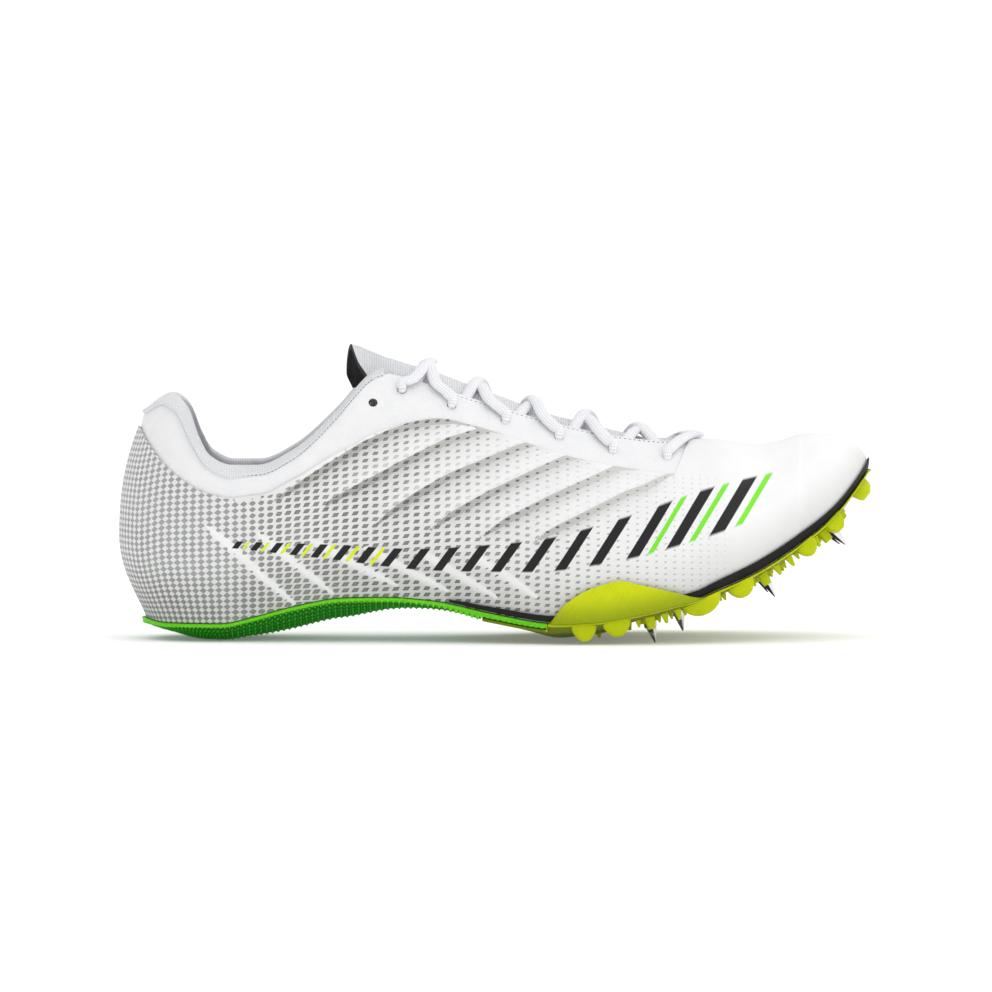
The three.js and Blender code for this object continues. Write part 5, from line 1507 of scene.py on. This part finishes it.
# %% Wings
WING_TABLE = [
    (LAP_END / LENGTH, 0), (0.457, 0.58), (0.491, 0.91), (0.521, 1),
    (0.557, 0.78), (0.597, 0.43), (0.632, 0.12), (0.65, 0),
]
WING_THICKNESS = 1.4
WING_HEIGHT = 13.8
WING_ROOT = 0.4
wing_high = line(WING_TABLE, 1)


def wing_part(side):
    """Points and faces of the wing on one side."""
    stations = station_at(np.linspace(LAP_END + GAP, 0.65 * LENGTH, 90))
    cut = section(side, stations)
    base = sole_edge(cut.x)
    top = reach(cut, lambda r, z: z - base - WING_HEIGHT * wing_high(cut.x))
    gap = RAND_ROOM + RAND_THICKNESS + GAP
    shares = np.linspace(0, 1, 18)[None, :]
    thick = WING_THICKNESS * (1 - 0.45 * shares ** 2) + 0.7 * np.sin(np.pi * shares) * wing_high(cut.x)
    far = place(cut, *profile(cut, top * shares, gap + thick))
    far[..., 2] = np.maximum(far[..., 2], base - GAP)
    near = place(cut, *profile(cut, top * shares[:, ::-3], gap))
    lip = place(cut, *profile(cut, top + 0.004, gap + 0.5 * WING_THICKNESS))
    root_out, root_in = far[:, :1].copy(), near[:, -1:].copy()
    root_out[..., 2] = root_in[..., 2] = base - GAP - WING_ROOT
    ring = np.concatenate([root_out, far, lip, near, root_in], axis=1)
    return ring.reshape(-1, 3), capped_faces(*ring.shape[:2])


points, faces = joined([wing_part(side) for side in SIDES])
make_plate_piece("plate_wings", points, faces, points[:, 2] - sole_edge(points[:, 0]), 1.0, sharp=50)

# %% [markdown]
# ## Cleats and teeth
# Big rounded lugs stand along the plate's edge, with small pointed teeth between them and in
# rows further in. Each is a stack of rounded outlines that narrow downwards, set square to
# the plate's underside.

# %% Cleats and teeth
CLEATS = [  # place along the shoe and breadth, as shares of its length
    (0.481, 0.037), (0.524, 0.042), (0.637, 0.055), (0.688, 0.039),
    (0.776, 0.032), (0.817, 0.03), (0.857, 0.032),
]
TEETH = [  # place along the shoe, and share of the way from the middle line to the edge
    (0.587, 0.9), (0.604, 0.93), (0.735, 0.9), (0.752, 0.93), (0.79, 0.9),
    (0.5, 0.5), (0.54, 0.3), (0.64, 0.4), (0.68, 0.3), (0.74, 0.35),
]
SMALL_TEETH = [
    (0.552, 0.88), (0.579, 0.8), (0.595, 0.8), (0.613, 0.88), (0.665, 0.78), (0.704, 0.86), (0.726, 0.8),
    (0.744, 0.8), (0.761, 0.88), (0.797, 0.8), (0.832, 0.88), (0.841, 0.8), (0.52, 0.62), (0.56, 0.42),
    (0.62, 0.52), (0.66, 0.5), (0.7, 0.42), (0.72, 0.2), (0.64, 0.15), (0.58, 0.15), (0.78, 0.4),
]
POSTS = [(0.567, 0.9), (0.717, 0.9), (0.805, 0.86)]  # blunt blocks beside the spikes
CLEAT_HEIGHT, CLEAT_DEPTH = 4.4, 6.0
SMALL_TOOTH = 2.6
LUG_SHARES = np.array([0, 0.2, 0.36, 0.5, 0.62, 0.72, 0.81, 0.89, 0.95, 0.985, 1.0])
SQUARENESS = 0.55  # 1 gives a round outline, and less a squarer one
LUG_POINTS = 28
KINDS = [  # places, breadth, depth, height and narrowing
    (TEETH, 3.4, 3.4, 3.6, 0.7), (SMALL_TEETH, SMALL_TOOTH, SMALL_TOOTH, SMALL_TOOTH, 0.75),
    (POSTS, 4.6, 4.4, 4.2, 0.35),
]


def edge_station(side, x):
    """The station where the plate's edge lies at this x."""
    s = np.linspace(FIRST_STRAIGHT, LAST_SECTION, 2001)
    cut = section(side, s)
    return float(np.interp(x, x_at(cut, cut.foot + PLATE_EDGE)[:, 0], s))


def hanging_frame(side, x, row, deep):
    """The spot on the plate's underside, and the ways along, inwards and down from it."""
    s = edge_station(side, x)

    def under(station, r):
        cut = section(side, station)
        return place(cut, np.array([[r]]), underside(cut, np.array([[r]]), cut.foot + PLATE_EDGE))[0, 0]

    r = float((section(side, s).foot[0, 0] + PLATE_EDGE) * row - deep / 2)
    centre = under(s, r)
    along = under(min(s + 0.05, LAST_SECTION), r) - under(s - 0.05, r)
    along /= np.linalg.norm(along)
    down = np.cross(along, under(s, r - 1) - centre)
    down *= (1 if down[2] < 0 else -1) / np.linalg.norm(down)
    return centre, along, np.cross(down, along), down


def lug(side, x, row, wide, deep, tall, narrowing=None, rooted=0.45):
    """A rounded lug, or a tooth that narrows evenly by a share of its breadth."""
    centre, along, inward, down = hanging_frame(side, x, row, deep)
    angle = np.linspace(0, 2 * np.pi, LUG_POINTS, endpoint=False)
    square = lambda v: np.sign(v) * np.abs(v) ** SQUARENESS
    across, through = square(np.cos(angle)), square(np.sin(angle))
    rings = []
    for share in mix(-rooted, 1.0, LUG_SHARES):
        fallen = (share + rooted) / (1 + rooted)
        narrow = 1 - narrowing * fallen ** 1.2 if narrowing else math.sqrt(1 - (0.985 * fallen) ** 1.8)
        thinner = mix(1, narrow, 0.5 if narrowing else 0.35)
        ring = centre + down * tall * share + along * (across * wide / 2 * narrow)[:, None]
        rings.append(ring + inward * ((through - 1) * deep / 2 * thinner + deep / 2)[:, None] * -1)
    return np.concatenate(rings), capped_faces(len(rings), LUG_POINTS)


lugs = []
for side in SIDES:
    for at, wide in CLEATS:
        rooted = 0.75 if at < 0.6 else 0.3  # deeper under the wings, where the plate climbs
        lugs.append(lug(side, at * LENGTH, 1, wide * LENGTH, CLEAT_DEPTH, CLEAT_HEIGHT, rooted=rooted))
    for places, wide, deep, tall, narrowing in KINDS:
        lugs += [lug(side, at * LENGTH, row, wide, deep, tall, narrowing) for at, row in places]
points, faces = joined(lugs)
make_plate_piece("plate_lugs", points, faces, points[:, 2], 0.0, weld=0.001, sharp=40)

# %% [markdown]
# ## Spike seats and spikes
# Each spike screws into a round seat that stands out of the plate. The CAD already has the
# spikes' hexagonal bases and six-sided points in their true shape, so those nodes stay. They
# get a polished steel finish with a painted reflection, bright on faces towards the toe and dark
# on faces towards the heel, and a Bevel modifier softens their edges.

# %% Seats
SEAT_HEIGHT, SEAT_RADIUS = 1.6, 4.2
SPIKE_COLLAR, SPIKE_LENGTH, SPIKE_POINT = 1.6, 6.0, 0.35
SPIKES = [  # place along and across, and whether the point touches the floor
    ("spike_rear_outer", 0.567, -0.66, True), ("spike_rear_inner", 0.567, 0.66, True),
    ("spike_centre", 0.606, 0, False),
    ("spike_middle_outer", 0.718, -0.62, False), ("spike_middle_inner", 0.713, 0.62, False),
    ("spike_front_outer", 0.806, -0.42, False), ("spike_front_inner", 0.802, 0.42, False),
]


def spike_spot(at, across, on_floor):
    """Where a spike stands on the plate, the way it points, and how tall its seat is."""
    x = at * LENGTH
    cut = section(OUTER_SIDE if across < 0 else INNER_SIDE, station_at(x))
    z = lambda along: float(sole_edge(along) - HEEL_STACK * depth_middle(along))
    down = np.array([z(x + 2) - z(x - 2), 0, -4.0])
    down /= np.linalg.norm(down)
    root = np.array([x, cut.y[0, 0] + across * (cut.foot[0, 0] + PLATE_EDGE), z(x)])
    spike_tall = GAP + SPIKE_COLLAR + SPIKE_LENGTH
    seat = (root[2] - SPIKE_POINT * down[0]) / -down[2] - spike_tall if on_floor else SEAT_HEIGHT
    return root, down, seat


seats = []
for _, at, across, on_floor in SPIKES:
    root, down, seat = spike_spot(at, across, on_floor)
    outline = [
        (0, -1), (SEAT_RADIUS + 0.6, -1), (SEAT_RADIUS + 0.25, 0.2), (SEAT_RADIUS, 0.7),
        (SEAT_RADIUS - 0.15, seat - 0.35), (SEAT_RADIUS - 0.5, seat),
        (3.1, seat), (2.95, seat - 0.25), (0, seat - 0.25),
    ]
    seats.append(turned(root, down, outline, 40))
points, faces = joined(seats)
make_plate_piece("spike_seats", points, faces, points[:, 2], 0.0, weld=0.001, sharp=35)

# %% Spikes
steel_look = Finish("polished_steel", Metallic=1.0)
scratch = steel_look.noise(0.25, 3.0)
reflection_ripple = steel_look.noise(2.0, 2.0)
# Painted reflection: bright on faces turned towards the toe, dark on those turned towards the heel, broken up
# by soft noise
facing = steel_look.parts(steel_look.coordinates("Normal"))[0]
lit = (facing + 0.5 * reflection_ripple).rise(0.0, 0.4)
steel_tone = steel_look.blend(lit, ink(52, 53, 56), ink(226, 227, 230))
steel_look.set(Base_Color=steel_tone, Roughness=0.12 + 0.16 * scratch)
steel_look.bump(scratch, 0.01)
for name, *_ in SPIKES:
    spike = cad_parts[name]
    spike.data.materials.clear()
    spike.data.materials.append(steel_look.material)
    bevel = spike.modifiers.new("soft_edges", "BEVEL")
    bevel.width = 0.00012
    bevel.segments = 2
    bevel.limit_method = "ANGLE"
print("spikes:", len(SPIKES))

# %% [markdown]
# ## Laces
# One lace runs from a bar at the vamp up to a bar between the top laced eyelets, crossing over
# the tongue in between. Each half comes up through an eyelet, over the eyestay's edge and
# across to the other side, where it slips under the next eyestay. Both halves are mirror
# images apart from who lies on top, and together they close into one loop, so no end shows.


# %% Lace path
def spine_top(x, out):
    """A point over the middle of the throat."""
    cut = section(OUTER_SIDE, station_at(x))
    return np.array([x, cut.y[0, 0], cut.top[0, 0] + out])


def on_stay(side, x, from_throat, out):
    return eyestay_point(side, x, from_throat, out)[0]


LACE_OVER = 1.25  # the lace's middle over the eyestay
LACE_UNDER = -WALL - 0.85
LACE_STEP = 0.75


def through_eyelet(side, index, coming_up):
    """Down into an eyelet from outside, or the other way round."""
    at, inset = EYELETS[index]
    x, inset = at * LENGTH, inset * BALL_WIDTH
    points = [
        on_stay(side, x, inset - 1.2, LACE_OVER + 0.25), on_stay(side, x, inset + 0.1, LACE_OVER - 0.55),
        on_stay(side, x, inset + 0.15, -1.2), on_stay(side, x, inset - 0.8, LACE_UNDER - 0.1),
    ]
    return points[::-1] if coming_up else points


def half_lace(side, order):
    """The points of one half, from the middle of the front bar to the middle of the top bar."""
    x_of = lambda index: EYELETS[index][0] * LENGTH
    inset_of = lambda index: EYELETS[index][1] * BALL_WIDTH
    points = [spine_top(177.6, 1.5), spine_top(175.6, 1.45) + np.array([0, side * 2.2, -0.1])]
    points.append(on_stay(side, 170.5, 2.6, LACE_OVER + 0.35))
    points += through_eyelet(side, 6, False)
    here = side
    for index in range(6, 1, -1):
        start, end = x_of(index), x_of(index - 1)
        middle = (start + end) / 2
        if index == 6:
            points.append(on_stay(here, start - 2.5, 1.0, LACE_UNDER))
            points.append(spine_top(middle, 0.6 + order * 0.8))
        else:
            points.append(on_stay(here, start - 2.2, inset_of(index) - 3.0, LACE_OVER + 0.3))
            points.append(on_stay(here, start - 5.8, 1.2, LACE_OVER + 0.7))
            points.append(spine_top(middle, 1.2 + order * 0.95))
        other = -here
        points.append(on_stay(other, end + 5.2, 0.0, LACE_UNDER + 1.2))
        points.append(on_stay(other, end + 2.8, 3.0, LACE_UNDER))
        points += through_eyelet(other, index - 1, True)
        here = other
    points.append(on_stay(here, x_of(1) + 4.0, 1.6, LACE_OVER + 0.6))
    points.append(spine_top(x_of(1) + 9.0, 2.4) + np.array([0, here * 6.0, -0.8]))
    points.append(spine_top(x_of(1) + 11.0, 3.0))
    return points


def rounded(points, per_span=14):
    """A smooth closed curve through points."""
    points = np.asarray(points)
    before, after, far = np.roll(points, 1, 0), np.roll(points, -1, 0), np.roll(points, -2, 0)
    t = np.linspace(0, 1, per_span, endpoint=False)[None, :, None]
    p0, p1, p2, p3 = [p[:, None] for p in (before, points, after, far)]
    gap = lambda a, b: np.linalg.norm(b - a, axis=-1, keepdims=True) ** 0.5 + 1e-6
    d1, d2, d3 = gap(p0, p1), gap(p1, p2), gap(p2, p3)
    m1 = (p2 - p1) + d2 * ((p1 - p0) / d1 - (p2 - p0) / (d1 + d2))
    m2 = (p2 - p1) + d2 * ((p3 - p2) / d3 - (p3 - p1) / (d2 + d3))
    a, b = 2 * (p1 - p2) + m1 + m2, -3 * (p1 - p2) - 2 * m1 - m2
    return (a * t ** 3 + b * t ** 2 + m1 * t + p1).reshape(-1, 3)


one_half = half_lace(OUTER_SIDE, 1)
other_half = half_lace(INNER_SIDE, -1)
path = rounded(one_half + other_half[::-1][1:-1])
path = resampled(np.concatenate([path, path[:1]]), LACE_STEP)[:-1]
print("lace length in mm:", round(float(distance_along(path)[-1])))

# %% Lace material and mesh
LACE_HALF_WIDTH, LACE_HALF_THICK = 2.3, 1.35
LACE_IN_HOLE = 1.62  # half its width where it is squeezed through an eyelet
LACE_POINTS = 18
LACE_ROUND_STEP = 0.56  # from one point of a ring to the next, in the braid's own measure
lace_look = Finish("white_braid", **{"Specular IOR Level": 0.2, "Sheen Weight": 0.2})
lace_along, lace_around, _ = lace_look.attribute("fabric")
braid = (lace_along + lace_around).wave(1.5) * (lace_along - lace_around).wave(1.5)
fuzz = lace_look.noise(0.4, 2.0)
lace_tone = lace_look.blend(braid.rise(-0.7, 0.5), ink(222, 222, 228), ink(250, 250, 252))
lace_look.set(Base_Color=lace_tone, Roughness=0.85)
lace_look.bump(braid.rise(-1.0, 1.0) * 0.8 + fuzz * 0.2, 0.22)

tangent = np.roll(path, -1, 0) - np.roll(path, 1, 0)
tangent /= np.linalg.norm(tangent, axis=1, keepdims=True)
spine_y = np.interp(path[:, 0], straight_x, column_curves["swing"](straight_s) * BALL_WIDTH)
lean = np.stack([0 * spine_y, (path[:, 1] - spine_y) * 0.045, np.ones(len(path))], axis=-1)
for _ in range(12):
    lean = (np.roll(lean, 1, 0) + lean + np.roll(lean, -1, 0)) / 3
up = lean - (lean * tangent).sum(axis=1, keepdims=True) * tangent
for _ in range(6):
    up = (np.roll(up, 1, 0) + up + np.roll(up, -1, 0)) / 3
    up -= (up * tangent).sum(axis=1, keepdims=True) * tangent
up /= np.linalg.norm(up, axis=1, keepdims=True)
across = np.cross(tangent, up)
laced = [(side, at * LENGTH, inset * BALL_WIDTH) for side in SIDES for at, inset in EYELETS[1:]]
holes = np.array([eyestay_point(*spot)[0] for spot in laced])
free = ease(np.linalg.norm(path[:, None] - holes[None], axis=2).min(axis=1), 1.0, 3.4)[:, None, None]
angle = np.linspace(0, 2 * np.pi, LACE_POINTS, endpoint=False)[None, :, None]
rings = path[:, None] + across[:, None] * mix(LACE_IN_HOLE, LACE_HALF_WIDTH, free) * np.cos(angle)
rings = rings + up[:, None] * mix(LACE_IN_HOLE * 0.9, LACE_HALF_THICK, free) * np.sin(angle)
lengths = np.arange(len(path))[:, None] * LACE_STEP
round_it = np.arange(LACE_POINTS)[None, :] * LACE_ROUND_STEP
fabric = np.stack(np.broadcast_arrays(lengths, round_it, 0.0), axis=-1)
make_piece(
    "laces", rings.reshape(-1, 3), ring_faces(len(path), LACE_POINTS, loop_rings=True), [lace_look],
    "lace", [f"lace_cross_{i}" for i in range(1, 7)],
    carried={"fabric": fabric.reshape(-1, 3)}, weld=0.001, sharp=180,
)

# %% [markdown]
# ## Floor and light
# A pale floor that runs on far behind the shoe, so no horizon shows. Large soft lights from
# above and from the toe's side keep the shadows faint, as on a light table. The floor gives off
# a little light of its own, and the sky grows brighter upwards and towards the toe.

# %% Floor
floor_look = Finish("pale_paper", **{"Roughness": 0.9, "Specular IOR Level": 0.1, "Emission Strength": 0.16})
paper = floor_look.noise(60.0, 2.0)
paper_tone = floor_look.blend(paper, ink(250, 250, 250), ink(252, 252, 252))
floor_look.set(Base_Color=paper_tone, Emission_Color=paper_tone)
floor_mesh = bpy.data.meshes.new("floor")
floor_mesh.from_pydata([(-60, -60, 0), (60, -60, 0), (60, 120, 0), (-60, 120, 0)], [], [(0, 1, 2, 3)])
floor_mesh.materials.append(floor_look.material)
floor = bpy.data.objects.new("floor", floor_mesh)
bpy.context.scene.collection.objects.link(floor)


# %% Lights
def softbox(name, location, target, size, power):
    """A square area light that faces a target."""
    light = bpy.data.lights.new(name, "AREA")
    light.shape = "SQUARE"
    light.size = size
    light.energy = power
    lamp = bpy.data.objects.new(name, light)
    lamp.location = location
    lamp.rotation_euler = (Vector(target) - Vector(location)).to_track_quat("-Z", "Y").to_euler()
    bpy.context.scene.collection.objects.link(lamp)


MIDDLE = (0.1, 0, 0.05)
softbox("top_box", (0.35, -0.2, 1.6), MIDDLE, 1.4, 2.4)
softbox("toe_box", (1.3, -0.9, 0.7), MIDDLE, 0.8, 1.2)
world = bpy.data.worlds.new("studio")
world.use_nodes = True
sky = Web(world.node_tree)
toward = sky.parts(sky.coordinates("Generated"))
brightness = 0.82 + 0.3 * toward[2].top(0.0) + 0.16 * toward[0]
glow = sky.node("ShaderNodeBackground", {}, {"Color": (1, 1, 1, 1), "Strength": brightness})
sky.node("ShaderNodeOutputWorld", {}, {"Surface": glow.outputs[0]})
bpy.context.scene.world = world
print("lights: 2 soft boxes and a white sky")
